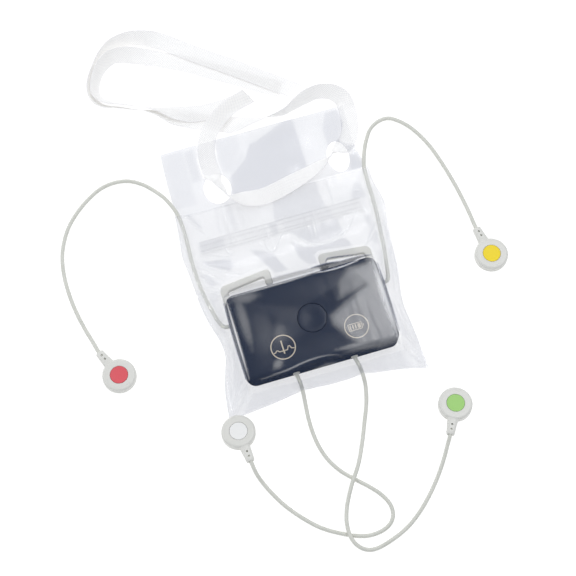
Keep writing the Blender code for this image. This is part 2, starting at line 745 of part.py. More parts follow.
def board():
    green = material("circuit_board", "2F5B3C", 0.45)
    size = (
        2 * (FRONT_HALF_WIDTH - FRONT_WALL - BOARD_MARGIN),
        2 * (FRONT_HALF_DEPTH - FRONT_WALL - BOARD_MARGIN),
        BOARD_THICKNESS,
    )
    sheet = rounded_box("main_board", size, (0, 0, BOARD_Z), BOARD_CORNER, finish=green, segments=2)
    for side in (-1, 1):
        for end in (-1, 1):
            spot = (side * SCREW_X, end * SCREW_Y)
            boolean(
                sheet,
                disc(
                    f"board_hole_{side}_{end}",
                    SCREW_BORE,
                    BOARD_Z - CUT_OVERRUN,
                    BOARD_TOP_Z + CUT_OVERRUN,
                    spot,
                    sides=16,
                ),
            )
    return sheet


def board_parts():
    black = material("chip_epoxy", "24262A", 0.5)
    lamp = material("led_lens", "DDEBDD", 0.2)
    acrylic = material("light_guide_acrylic", "EAF2F5", 0.1)
    reach = FRONT_HALF_WIDTH - FRONT_WALL - BOARD_MARGIN
    # name, size as shares of the switch's size, place as shares of the board's half width
    chip_shares = [
        ("analogue_chip", (1.3, 1.3), (-0.62, 0.24)),
        ("processor_chip", (1.4, 1.4), (0.30, 0.26)),
        ("memory_chip", (1.5, 1.0), (0.62, 0.24)),
        ("radio_module", (1.9, 1.4), (-0.30, 0.26)),
    ]
    for name, (wide, deep), (x_share, y_share) in chip_shares:
        size = (SWITCH_SIZE * wide, SWITCH_SIZE * deep, CHIP_HEIGHT)
        rounded_box(name, size, (reach * x_share, reach * y_share, CHIP_Z), finish=black)
    for side, tag in ((-1, "left"), (1, "right")):
        x = side * ICON_X
        rounded_box(f"status_led_{tag}", (LED_SIZE, LED_SIZE, LED_HEIGHT), (x, ICON_Y, CHIP_Z), finish=lamp)
        low = CHIP_Z + LED_HEIGHT + FIT_GAP
        disc(f"light_guide_{tag}", LIGHT_GUIDE_RADIUS, low, CEILING_Z - FIT_GAP, (x, ICON_Y), acrylic, 12)


def battery():
    foil = material("battery_foil", "B9BDC2", 0.35, 0.6)
    foam = material("battery_foam", "3A3C40", 0.9)
    size = (BATTERY_WIDTH, BATTERY_DEPTH, BATTERY_HEIGHT)
    rounded_box("battery_cell", size, (0, 0, BATTERY_Z), BATTERY_EDGE, BATTERY_EDGE, foil, 2)
    rounded_box("battery_pad", (BATTERY_WIDTH, BATTERY_DEPTH, PAD_THICKNESS), (0, 0, PAD_Z), finish=foam)
    gold = material("dock_contact_gold", "D8B45A", 0.25, 1.0)
    for side, tag in ((-1, "left"), (1, "right")):
        spot = (side * DOCK_PIN_SPACING / 2, DOCK_PIN_Y)
        disc(f"dock_contact_{tag}", DOCK_PIN_RADIUS, REAR_Z - DOCK_PIN_PROUD, FLOOR_Z, spot, gold, 12)


def screws():
    steel = material("screw_steel", "B5B8BC", 0.3, 1.0)
    brass = material("insert_brass", "C9A14A", 0.35, 1.0)
    number = 0
    for side in (-1, 1):
        for end in (-1, 1):
            number += 1
            head_top = REAR_Z + SCREW_HEAD_HEIGHT
            shaft_top = CHIP_Z + INSERT_HEIGHT
            profile = [
                (0, shaft_top),
                (SCREW_SHAFT_RADIUS, shaft_top),
                (SCREW_SHAFT_RADIUS, head_top),
                (SCREW_HEAD_RADIUS, head_top),
                (SCREW_HEAD_RADIUS, REAR_Z),
                (0, REAR_Z),
            ]
            screw = turned(f"cover_screw_{number}", profile, steel, 12)
            screw.location = (side * SCREW_X, end * SCREW_Y, 0)
            ring = [
                (SCREW_BORE, CHIP_Z + INSERT_HEIGHT),
                (INSERT_RADIUS, CHIP_Z + INSERT_HEIGHT),
                (INSERT_RADIUS, CHIP_Z),
                (SCREW_BORE, CHIP_Z),
            ]
            insert = turned(f"screw_insert_{number}", ring, brass, 12, closed=True)
            insert.location = screw.location


def event_button():
    """The push button, its plunger and the switch body that the plunger slides in."""
    plastic = material("event_button_abs", NAVY, 0.3)
    steel = material("switch_body_nylon", "3C3F45", 0.6)
    cap = material("plunger_nylon", "E6E6E2", 0.5)
    flange_top = CEILING_Z - FIT_GAP
    flange_low = flange_top - BUTTON_FLANGE_THICKNESS
    top = TOP_Z - BUTTON_SINK
    edge = BUTTON_DISH
    profile = [
        (0, top - BUTTON_DISH),
        (BUTTON_RADIUS * 0.55, top - BUTTON_DISH * 0.75),
        (BUTTON_RADIUS - edge * 2, top),
        (BUTTON_RADIUS - edge, top),
        (BUTTON_RADIUS, top - edge),
        (BUTTON_RADIUS, flange_top),
        (BUTTON_RADIUS + BUTTON_FLANGE, flange_top),
        (BUTTON_RADIUS + BUTTON_FLANGE, flange_low),
        (0, flange_low),
    ]
    turned("event_button", profile, plastic, 40)
    body = rounded_box("tact_switch", (SWITCH_SIZE, SWITCH_SIZE, SWITCH_HEIGHT), (0, 0, CHIP_Z), finish=steel)
    boolean(
        body,
        disc("switch_bore", PLUNGER_RADIUS + FIT_GAP, CHIP_Z - CUT_OVERRUN, CHIP_Z + SWITCH_HEIGHT + CUT_OVERRUN),
    )
    disc("switch_plunger", PLUNGER_RADIUS, CHIP_Z + BUTTON_TRAVEL, flange_low - FIT_GAP, (0, 0), cap, 16)


# Snap clips


def clip_frame(name):
    """The clip's own frame in the world: its foot's middle at the origin, its tail along +X."""
    clip = CLIPS[name]
    axis = Vector((-sin(CLIP_LEAN_HEADING), cos(CLIP_LEAN_HEADING), 0))
    height = CLIP_RADIUS * sin(clip["lean"]) + TABLE_GAP
    lean = Matrix.Rotation(clip["lean"], 4, axis)
    return Matrix.Translation((*clip["place"], height)) @ lean @ Matrix.Rotation(clip["heading"], 4, "Z")


def tail_middle(share):
    """The middle of the tail at a share of the way from the disc's middle to the tail's end, in the clip's frame."""
    return Vector((TAIL_REACH * share, 0, TAIL_LIFT + TAIL_TIP_HEIGHT / 2))


def clip(name):
    plastic = material("clip_shell_abs", CLIP_GREY, 0.45)
    place = clip_frame(name)
    top = CLIP_HEIGHT
    recess = DISC_THICKNESS + FIT_GAP
    profile = [(0, top - recess), (DISC_RADIUS + FIT_GAP, top - recess), (DISC_RADIUS + FIT_GAP, top)]
    round_middle = (CLIP_RADIUS - CLIP_TOP_ROUND, top - CLIP_TOP_ROUND)
    profile += arc(round_middle, CLIP_TOP_ROUND, 90, 0, 3)
    profile += [(CLIP_RADIUS, CLIP_FOOT_ROUND), (CLIP_RADIUS - CLIP_FOOT_ROUND, 0)]
    socket_room = SOCKET_RADIUS + FIT_GAP
    profile += [(socket_room, 0), (socket_room, SOCKET_HEIGHT + FIT_GAP), (0, SOCKET_HEIGHT + FIT_GAP)]
    shell = turned(f"clip_shell_{name}", profile, plastic, 28)
    tail_root = DISC_RADIUS + FIT_GAP + FIT_GAP
    outline = [
        (tail_root, -TAIL_ROOT_WIDTH / 2),
        (TAIL_REACH, -TAIL_TIP_WIDTH / 2),
        (TAIL_REACH, TAIL_TIP_WIDTH / 2),
        (tail_root, TAIL_ROOT_WIDTH / 2),
    ]
    tail = plate(f"tail_{name}", outline, TAIL_LIFT, TAIL_LIFT + TAIL_TIP_HEIGHT)
    ease = tail.modifiers.new("Rounded edges", "BEVEL")
    ease.width = TAIL_EDGE
    ease.segments = 1
    tail.matrix_world = place
    boolean(shell, tail, "UNION")
    bore = disc(f"tail_bore_{name}", LEAD_RADIUS + FIT_GAP, -TAIL_BORE_DEPTH, CUT_OVERRUN, sides=12)
    end = place @ tail_middle(1)
    point_along(bore, end, place.to_3x3() @ Vector((1, 0, 0)))
    boolean(shell, bore)
    shell.matrix_world = place
    colour = material(f"clip_disc_{name}", CLIP_COLOURS[name], 0.4)
    disc_profile = [(0, top), (DISC_RADIUS, top), (DISC_RADIUS, top - DISC_THICKNESS), (0, top - DISC_THICKNESS)]
    turned(f"clip_disc_{name}", disc_profile, colour, 24).matrix_world = place
    nickel = material("snap_socket_nickel", "C4C6C8", 0.25, 1.0)
    socket_profile = [
        (0, SOCKET_HEIGHT),
        (SOCKET_RADIUS, SOCKET_HEIGHT),
        (SOCKET_RADIUS, 0),
        (SOCKET_MOUTH_RADIUS, 0),
        (SOCKET_MOUTH_RADIUS, SOCKET_LIP),
        (SOCKET_RADIUS - SOCKET_WALL, SOCKET_LIP),
        (SOCKET_RADIUS - SOCKET_WALL, SOCKET_HEIGHT - SOCKET_WALL),
        (0, SOCKET_HEIGHT - SOCKET_WALL),
    ]
    turned(f"snap_socket_{name}", socket_profile, nickel, 16).matrix_world = place


# Leads


def lead(name):
    """One lead wire from under the board, through its grommet and along its route into the clip's tail."""
    place, direction = lead_exit(name)
    frame = clip_frame(name)
    inside = 1 - TAIL_BORE_DEPTH / TAIL_REACH + FIT_GAP / TAIL_REACH
    end = [frame @ tail_middle(1), frame @ tail_middle(inside)]
    start = [place - direction * (FRONT_WALL + LEAD_TAIL_INSIDE), place]
    points = smooth_curve([*start, *ROUTES[name], *end], LEAD_POINT_SPACING)
    curve = bpy.data.curves.new(f"lead_{name}", "CURVE")
    curve.dimensions = "3D"
    curve.bevel_depth = LEAD_RADIUS
    curve.bevel_resolution = 2
    curve.use_fill_caps = True
    spline = curve.splines.new("POLY")
    spline.points.add(len(points) - 1)
    for knot, point in zip(spline.points, points):
        knot.co = (*point, 1)
    obj = bpy.data.objects.new(f"lead_{name}", curve)
    PARTS.objects.link(obj)
    curve.materials.append(material("lead_jacket_pvc", CABLE_GREY, 0.5))
    return points


# Pouch


def in_pouch(points):
    """The first stretch of a wire, up to where it has left the pouch."""
    room = CASE_WIDTH / 2
    for count, point in enumerate(points):
        if count > 2 and (point.y < POUCH_BOTTOM_Y - room or point.y > MOUTH_Y + LEAD_POINT_SPACING):
            return points[1:count]
    return points[1:]


def between(table, t):
    """The value at t on a table of (place, value) pairs, in a straight line between them."""
    for (a, low), (b, high) in zip(table, table[1:]):
        if t <= b:
            return low + (high - low) * max(0, (t - a) / (b - a))
    return table[-1][1]


def pouch_half_width(y):
    return POUCH_HALF_WIDTH * between(POUCH_SIDE_SHARES, (y - POUCH_BOTTOM_Y) / (POUCH_TOP_Y - POUCH_BOTTOM_Y))


def pouch_bottom(x):
    return POUCH_BOTTOM_Y - POUCH_BOTTOM_SAG * (x / POUCH_HALF_WIDTH) ** 2


def back_rise(y):
    """How far the back film's underside lies above the table: the header rises over the strap behind it."""
    first = HEADER_RISE * smooth_step((y - ZIP_Y - ZIP_WIDTH) / (MOUTH_Y - ZIP_Y - ZIP_WIDTH))
    return first + (HEADER_TIP_RISE - HEADER_RISE) * smooth_step((y - HOLE_Y) / (POUCH_TOP_Y - HOLE_Y))


def film_place(u, v, top):
    """Where a film's column u and row v meet: the casing's sides keep their place, the rest spreads between."""
    side, half_depth = CASE_WIDTH / 2, CASE_DEPTH / 2
    low = pouch_bottom(min(abs(u), 1) * side + max(abs(u) - 1, 0) * (POUCH_HALF_WIDTH - side))
    if v < 1:
        y = low + (-half_depth - low) * v
    elif v < 2:
        y = -half_depth + CASE_DEPTH * (v - 1)
    else:
        y = half_depth + (top - half_depth) * (v - 2)
    if abs(u) <= 1:
        return u * side, y
    return (side + (pouch_half_width(y) - side) * (abs(u) - 1)) * (1 if u > 0 else -1), y


def sheet(name, column_shares, row_shares, place, finish):
    """A thin closed film: a grid whose column u and row v meet at place(u, v)."""
    columns = [-c for c in reversed(column_shares) if c] + list(column_shares)
    bm = bmesh.new()
    across, along = len(columns) - 1, len(row_shares) - 1
    bmesh.ops.create_grid(bm, x_segments=across, y_segments=along, size=1)
    for vert in bm.verts:
        i = round((vert.co.x + 1) / 2 * across)
        j = round((vert.co.y + 1) / 2 * along)
        vert.co = place(columns[i], row_shares[j])
    mesh = bpy.data.meshes.new(name)
    bm.to_mesh(mesh)
    bm.free()
    obj = add_object(name, mesh, finish)
    thicken = obj.modifiers.new("Film", "SOLIDIFY")
    thicken.thickness = FILM
    thicken.offset = 1
    return obj


def back_film():
    clear = material("pouch_film_pvc", CLEAR_FILM, 0.15, alpha=0.35)

    def place(u, v):
        x, y = film_place(u, v, POUCH_TOP_Y)
        return x, y, back_rise(y)

    film = sheet("pouch_back_film", BACK_COLUMN_SHARES, BACK_ROW_SHARES, place, clear)
    for side, radius, narrowing in ((-1, HOLE_LEFT_RADIUS, 0), (1, HOLE_RIGHT_RADIUS, HOLE_RIGHT_NARROWING)):
        spot = (HOLE_MIDDLE_X + side * HOLE_SPACING / 2, HOLE_Y)
        high = HEADER_TIP_RISE + FILM + CUT_OVERRUN
        hole = disc(f"header_hole_{side}", radius, -CUT_OVERRUN, high, spot, sides=24, narrowing=narrowing)
        boolean(film, hole)
    return film


def outside_case(x, y, half_width, half_depth, corner):
    """How far a point lies outside a rounded rectangle round the origin, and 0 within it."""
    dx = max(abs(x) - half_width + corner, 0)
    dy = max(abs(y) - half_depth + corner, 0)
    return max(hypot(dx, dy) - corner, 0)


def front_under(x, y, wires):
    """The height of the front film's underside: drawn over the casing, the zip and the wires, down to its welds."""
    base = FILM + FIT_GAP + back_rise(y)
    side = max(pouch_half_width(y) - abs(x), 0)
    to_weld = min(side, max(y - pouch_bottom(x), 0))
    apart = outside_case(x, y, CASE_WIDTH / 2, CASE_DEPTH / 2, 0)
    to_edge = min(to_weld, max(ZIP_Y - y, 0)) if y > 0 else to_weld
    slack = 1 - apart / (apart + to_edge + MERGE_DISTANCE)
    height = base + (TOP_Z + FIT_GAP - base) * slack**1.5
    zip_apart = outside_case(x, y - ZIP_Y, ZIP_HALF_LENGTH, ZIP_WIDTH / 2, 0)
    zip_top = FILM + 2 * ZIP_THICKNESS + 3 * FIT_GAP
    zip_slack = 1 - zip_apart / (zip_apart + side + MERGE_DISTANCE)
    height = max(height, base + (zip_top - base) * zip_slack)
    for wire in wires:
        for start, end in zip(wire, wire[1:]):
            away, level = over_wire(Vector((x, y)), start, end)
            room = LEAD_RADIUS + FIT_GAP + FILM_SLACK / 2 - max(away - LEAD_RADIUS - FILM_SLACK, 0)
            height = max(height, level + room)
    return max(height, base)


def over_wire(spot, start, end):
    """How far a spot on the ground lies from one run of wire, and how high the wire is there."""
    run = (end - start).xy
    share = min(max((spot - start.xy).dot(run) / run.dot(run), 0), 1)
    nearest = start.lerp(end, share)
    return (nearest.xy - spot).length, nearest.z


def front_film(wires):
    clear = material("pouch_film_pvc", CLEAR_FILM, 0.15, alpha=0.35)

    def place(u, v):
        x, y = film_place(u, v, MOUTH_Y)
        return x, y, front_under(x, y, wires)

    return sheet("pouch_front_film", FRONT_COLUMN_SHARES, FRONT_ROW_SHARES, place, clear)


def zip_tracks():
    clear = material("zip_track_pe", "DDE1EA", 0.3, alpha=0.6)
    low = FILM + FIT_GAP
    for name in ("zip_track_rear", "zip_track_front"):
        rounded_box(name, (2 * ZIP_HALF_LENGTH, ZIP_WIDTH, ZIP_THICKNESS), (0, ZIP_Y, low), finish=clear)
        low += ZIP_THICKNESS + FIT_GAP


# Neck strap


def strap_rows(shares):
    """The strap's middle line as (x, y, roll, layers) rows in metres, radians and layers."""
    unit = HOLE_SPACING / 2
    return [
        Vector((HOLE_MIDDLE_X + x * unit, HOLE_Y + y * unit, radians(roll), layers)) for x, y, roll, layers in shares
    ]


def strap_lines(shares):
    """Pairs of edge points along one stretch, the left-hand one first where the strap is flat."""
    rows = smooth_curve(strap_rows(shares), STRAP_ROW_SPACING, 2)
    pairs = []
    for i, row in enumerate(rows):
        before, after = rows[max(i - 1, 0)], rows[min(i + 1, len(rows) - 1)]
        way = (after - before).xy.normalized()
        pairs.append(strap_line(row, Vector((-way.y, way.x))))
    return pairs


def strap_line(row, across):
    roll = row[2]
    reach = Vector((across.x * cos(roll), across.y * cos(roll), sin(roll))) * STRAP_WIDTH / 2
    low = TABLE_GAP * 2 + row[3] * STRAP_LAYER
    middle = Vector((row[0], row[1], low + abs(reach.z) + STRAP_THICKNESS / 2))
    return middle + reach, middle - reach


def neck_strap():
    weave = material("strap_polyester", STRAP_WHITE, 0.8)
    fold = Vector((cos(STRAP_FOLD_HEADING), sin(STRAP_FOLD_HEADING)))
    outer = strap_lines(STRAP_OUTER_SHARES)
    inner = strap_lines(STRAP_INNER_SHARES)
    outer[-1] = strap_line(strap_rows(STRAP_OUTER_SHARES)[-1], -fold)
    inner[0] = strap_line(strap_rows(STRAP_INNER_SHARES)[0], fold)
    pairs = outer + inner
    bm = bmesh.new()
    along = len(pairs) - 1
    bmesh.ops.create_grid(bm, x_segments=along, y_segments=1, size=1)
    for vert in bm.verts:
        i = round((vert.co.x + 1) / 2 * along)
        vert.co = pairs[i][0] if vert.co.y > 0 else pairs[i][1]
    mesh = bpy.data.meshes.new("neck_strap")
    bm.to_mesh(mesh)
    bm.free()
    strap = add_object("neck_strap", mesh, weave)
    thicken = strap.modifiers.new("Thickness", "SOLIDIFY")
    thicken.thickness = STRAP_THICKNESS
    thicken.offset = 0
    return strap


def main():
    rear_cover()
    front_cover()
    gasket()
    battery()
    board()
    board_parts()
    screws()
    event_button()
    wires = []
    for name in CLIPS:
        grommet(name)
        clip(name)
        wires.append(in_pouch(lead(name)))
    back_film()
    front_film(wires)
    zip_tracks()
    neck_strap()
    for obj in PARTS.objects:
        shade_round(obj)


clear_scene()
PARTS = collection("holter_monitor")
CUTTERS = collection("cutters")
CUTTERS.hide_render = True
main()
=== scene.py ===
"""The looks of a holter monitor: a pocket heart recorder in a clear pouch, with a neck strap and four leads.

Metres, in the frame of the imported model: the origin lies on the table under the middle of the recorder,
+X is its right-hand side and +Y points to the pouch's header.
"""

from math import cos, pi, radians, sin

import bmesh
import bpy
import numpy as np
from mathutils import Matrix, Vector, noise


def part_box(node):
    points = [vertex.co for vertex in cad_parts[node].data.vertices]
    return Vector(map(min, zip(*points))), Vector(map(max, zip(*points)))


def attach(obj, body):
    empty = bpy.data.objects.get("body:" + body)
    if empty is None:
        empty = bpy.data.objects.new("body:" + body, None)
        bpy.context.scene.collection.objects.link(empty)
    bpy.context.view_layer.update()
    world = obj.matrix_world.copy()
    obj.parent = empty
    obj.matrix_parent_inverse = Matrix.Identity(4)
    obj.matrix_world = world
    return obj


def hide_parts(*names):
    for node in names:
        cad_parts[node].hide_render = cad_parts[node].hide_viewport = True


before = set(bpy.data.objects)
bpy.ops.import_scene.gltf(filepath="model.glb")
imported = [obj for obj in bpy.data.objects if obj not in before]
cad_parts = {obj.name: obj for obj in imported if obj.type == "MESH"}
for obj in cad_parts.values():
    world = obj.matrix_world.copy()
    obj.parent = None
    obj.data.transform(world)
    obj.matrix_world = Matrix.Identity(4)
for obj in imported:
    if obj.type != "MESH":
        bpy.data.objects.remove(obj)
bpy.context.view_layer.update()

MM = 0.001
BODY = "recorder"


def box_corners(node):
    """The low and the high corner of a node of the model."""
    return [Vector(corner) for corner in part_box(node)]


# Places taken from the frame
CASE_LOW, CASE_HIGH = box_corners("front_cover")
REAR_LOW, REAR_HIGH = box_corners("rear_cover")
BUTTON_LOW, BUTTON_HIGH = box_corners("event_button")

# Camera: it stands low in front of the pouch and looks down steeply, with a long lens
CAMERA_PLACE = Vector((-0.0693, -0.1877, 0.7690))
CAMERA_TARGET = Vector((-0.0067, 0.0237, 0.0))
CAMERA_LENS = 90.0
CAMERA_CLIP = 0.01

# Table and softboxes: place, size and power of each light
TABLE_REACH = 4.0
TABLE_DROP = 0.2 * MM
SOFTBOXES = {
    "overhead": ((0.42, 0.20, 1.21), (0.5, 0.4), 4.4),
    "left": ((-0.9, 0.3, 0.8), (0.2, 0.35), 2.2),
    "back": ((0.0, 1.0, 0.6), (0.6, 0.15), 1.6),
}

# Recorder
CASE_CORNER = 5.1 * MM
CASE_EDGE = 3.2 * MM
CASE_WALL = 1.8 * MM
CASE_FACE = 1.6 * MM
REAR_CORNER = 5.5 * MM
REAR_RIM_TOP = 3.4 * MM
REAR_FLOOR = 1.6 * MM
REAR_RIM = 1.5 * MM
REAR_LEDGE = 0.3 * MM
REAR_TOP_LEDGE = 0.4 * MM
BUTTON_GAP = 0.3 * MM
BUTTON_FLANGE = 0.8 * MM
BUTTON_DISH = 0.42 * MM
LOWER_WALL_FOOT = 1.2 * MM
LOWER_WALL_RETURN = 4.6 * MM
ICON_THICKNESS = 0.04 * MM
ICON_LIFT = 0.005 * MM
HOOK_BAR = 4.0 * MM
HOOK_SLOT = 4.4 * MM
HOOK_RISE = 2.4 * MM
HOOK_INNER_X = 14.0 * MM
HOOK_TIP_GAP = 1.5 * MM
HOOK_LIFT = 0.8 * MM
HOOK_HEIGHT = 3.6 * MM
HOOK_CORNER = 3.5 * MM
HOOK_TIP_ROUND = 1.2 * MM
HOOK_TOP_ROUND = 2.4 * MM
HOOK_FOOT_ROUND = 1.7 * MM
HOOK_EASE = 0.7 * MM
HOOK_SLOPE = 82

# The printed icons in millimetres: points and width of each line
HEART_TRACE = [
    ([(-25.6, -13.3), (-24.5, -13.3), (-23.8, -12.4), (-23.1, -12.5), (-22.4, -13.3), (-20.4, -13.3)], 0.5),
    ([(-20.05, -7.5), (-20.0, -13.0), (-19.9, -15.0)], 0.75),
    ([(-19.55, -13.3), (-17.9, -13.3), (-17.1, -11.5), (-16.3, -11.4), (-15.6, -12.9), (-14.0, -13.3)], 0.5),
]
BATTERY_CORNERS = [(24.1, -10.1), (17.6, -10.1), (17.6, -12.7), (24.1, -12.7)]
BATTERY_BARS = [(18.1, 0.7), (19.6, 0.7), (21.1, 0.7), (23.1, 1.7)]
BATTERY_POLE = ([(25.15, -11.4), (25.6, -11.4)], 1.5)

# Screws and contacts in the rear cover
SCREW_X = 36.9 * MM
SCREW_Y = 19.3 * MM
SCREWS = [(x, y) for x in (-SCREW_X, SCREW_X) for y in (-SCREW_Y, SCREW_Y)]
SCREW_SINK = 2.3 * MM
SCREW_BORE = 1.3 * MM
BOSS_RADIUS = 3.1 * MM
BOSS_TOP = 7.5 * MM
DOCK_PIN_X = 4.0 * MM
DOCK_PIN_Y = -12.0 * MM
DOCK_BORE = 1.6 * MM

# Leads and their sleeves
LEAD_DIAMETER = 2.2 * MM
LEAD_EXIT_Z = 6.2 * MM
LEAD_SIDE_Y = 10.0 * MM
LEAD_BOTTOM_X = 16.5 * MM
LEAD_TAIL_INSIDE = 2.5 * MM
LEAD_STEP = 1.2 * MM
LEAD_HOLE = 1.75 * MM
SLEEVE_WALL = 0.15 * MM
SLEEVE_REACH = 1.1 * MM

# Snap clips
CLIP_RADIUS = 9.25 * MM
CLIP_HEIGHT = 5.0 * MM
CLIP_LIP = 0.25 * MM
CLIP_ROUND = 1.5 * MM
# A line pressed into the housing's face, in millimetres
CLIP_MARK = ((-7.9, -1.6, 4.88), (-7.1, 1.6, 5.4))
DISC_RADIUS = 4.85 * MM
DISC_THICKNESS = 1.0 * MM
TAIL_REACH = 17.5 * MM
TAIL_LIFT = 0.5 * MM
TAIL_TIP_HEIGHT = 4.0 * MM
TAIL_MIDDLE = TAIL_LIFT + TAIL_TIP_HEIGHT / 2
TAIL_BORE_DEPTH = 6.0 * MM
# The tail in millimetres: reach, width and height of its sections, and the reach of its notches
TAIL_STATIONS = [(5.2, 6.6, 4.3), (8, 6.3, 4.3), (10, 5.7, 4.25), (12.5, 5.2, 4.1)]
TAIL_STATIONS += [(15, 4.8, 4), (17, 4.5, 3.9), (17.5, 4, 3.5)]
TAIL_NOTCHES = (12.2, 14.9)
SOCKET_RADIUS = 4.0 * MM
SOCKET_HEIGHT = 2.4 * MM
CLIP_LEAN_HEADING = radians(73.5)
TABLE_GAP = 0.05 * MM
FIT_GAP = 0.3 * MM

# Each clip's middle in metres, the heading of its tail and its lean in degrees, and the colour of its disc
CLIPS = {
    "red": {"place": (-0.1090, 0.0010), "heading": 115, "lean": 4, "colour": "E05E66"},
    "yellow": {"place": (0.1070, 0.0090), "heading": 99.5, "lean": 4, "colour": "F6DC31"},
    "white": {"place": (-0.0555, -0.0475), "heading": -83.7, "lean": 8, "colour": "F1F1EF"},
    "green": {"place": (0.0610, -0.0660), "heading": -117.9, "lean": 8, "colour": "A5D57C"},
}

# Routes of the four leads, repeated from the part: points of the middle of each wire, in millimetres
ROUTES = {
    "red": [
        (-44.9, 10.1, 6.1), (-47.2, 11.1, 5.1), (-48.8, 14.5, 3.2), (-50.2, 20, 2), (-52.2, 30, 1.8),
        (-53.5, 40, 1.8), (-54, 52, 1.8), (-53.5, 64, 1.8), (-53.5, 75, 2.4), (-54.8, 83.5, 3.4),
        (-58.5, 92.5, 3.2), (-63.5, 100, 1.5), (-69, 105.5, 1.2), (-76, 109.5, 1.2), (-84.5, 110.7, 1.2),
        (-93, 109, 1.2), (-102, 104, 1.2), (-110, 97.5, 1.2), (-116, 90.5, 1.2), (-120.5, 82, 1.2),
        (-123, 74, 1.2), (-124.2, 64, 1.2), (-124, 53, 1.2), (-122.8, 43, 1.2), (-120.7, 33, 1.2),
        (-118.2, 24, 1.3),
    ],
    "yellow": [
        (44.9, 10.1, 6.1), (47.1, 11.3, 5.1), (48.5, 15, 3.2), (49.7, 20.5, 2), (51.3, 31, 1.8),
        (52.5, 42, 1.8), (53.5, 52, 1.8), (54, 63, 1.8), (54.1, 72, 2.2), (54.8, 79.5, 3), (56.8, 86, 3.4),
        (59.2, 91.5, 2.6), (62, 96.5, 1.3), (65.5, 101, 1.2), (71, 104, 1.2), (76.8, 104.3, 1.2),
        (82, 101.2, 1.2), (86.8, 96.2, 1.2), (91, 89.5, 1.2), (94.7, 81.2, 1.2), (97.4, 72.2, 1.2),
        (99.8, 62, 1.2), (101.8, 51, 1.2), (103.3, 39, 1.3),
    ],
    "white": [
        (-16.4, -27, 6.1), (-16, -29.6, 5.1), (-15.7, -32.5, 3.3), (-15.8, -36.5, 2.1), (-16.3, -42, 1.3),
        (-17, -50, 1.2), (-17, -58.5, 1.2), (-15.8, -67.2, 1.2), (-13.2, -75, 1.2), (-8.8, -82.2, 1.2),
        (-3.2, -88.2, 1.2), (2.8, -94, 1.2), (8, -100, 1.2), (11.2, -106.2, 1.2), (11.3, -112, 1.2),
        (8.6, -116.3, 1.2), (3.5, -118.8, 1.2), (-3, -119.4, 1.2), (-9, -118.2, 1.2), (-16.5, -115, 1.2),
        (-26.8, -108.8, 1.2), (-35.2, -100.8, 1.2), (-42.8, -91.2, 1.2), (-48.8, -80.5, 2),
        (-52.2, -72, 4.2),
    ],
    "green": [
        (16.7, -27, 6.1), (17.4, -29.6, 5.1), (18, -32.5, 3.3), (18.3, -37, 2.1), (17.7, -43, 1.3),
        (15.5, -51, 1.2), (11.2, -61.2, 1.2), (6.5, -71.8, 2), (1.2, -82, 3.4), (-4.8, -90.5, 3.6),
        (-9.2, -97.8, 3.2), (-12.2, -104.2, 3.2), (-14, -110.8, 3.6), (-14, -117.8, 3.6),
        (-11.5, -123.2, 2.8), (-7, -126.4, 1.7), (-1, -126.8, 1.2), (8, -124.5, 1.2), (17, -120.7, 1.2),
        (25.3, -115, 1.2), (33, -108, 1.2), (40.2, -100, 1.2), (46, -92.2, 2.2), (50, -85.8, 4.3),
    ],
}

# Neck strap
STRAP_WIDTH = 10.0 * MM
STRAP_THICKNESS = 0.5 * MM
STRAP_LAYER = 0.9 * MM
STRAP_STEP = 1.1 * MM
STRAP_COLUMNS = 6
STRAP_THREAD = 0.9 * MM
HOLE_MIDDLE = Vector((7.6 * MM, 91.0 * MM))
HOLE_REACH = 36.0 * MM
STRAP_FOLD_HEADING = radians(-63.4)
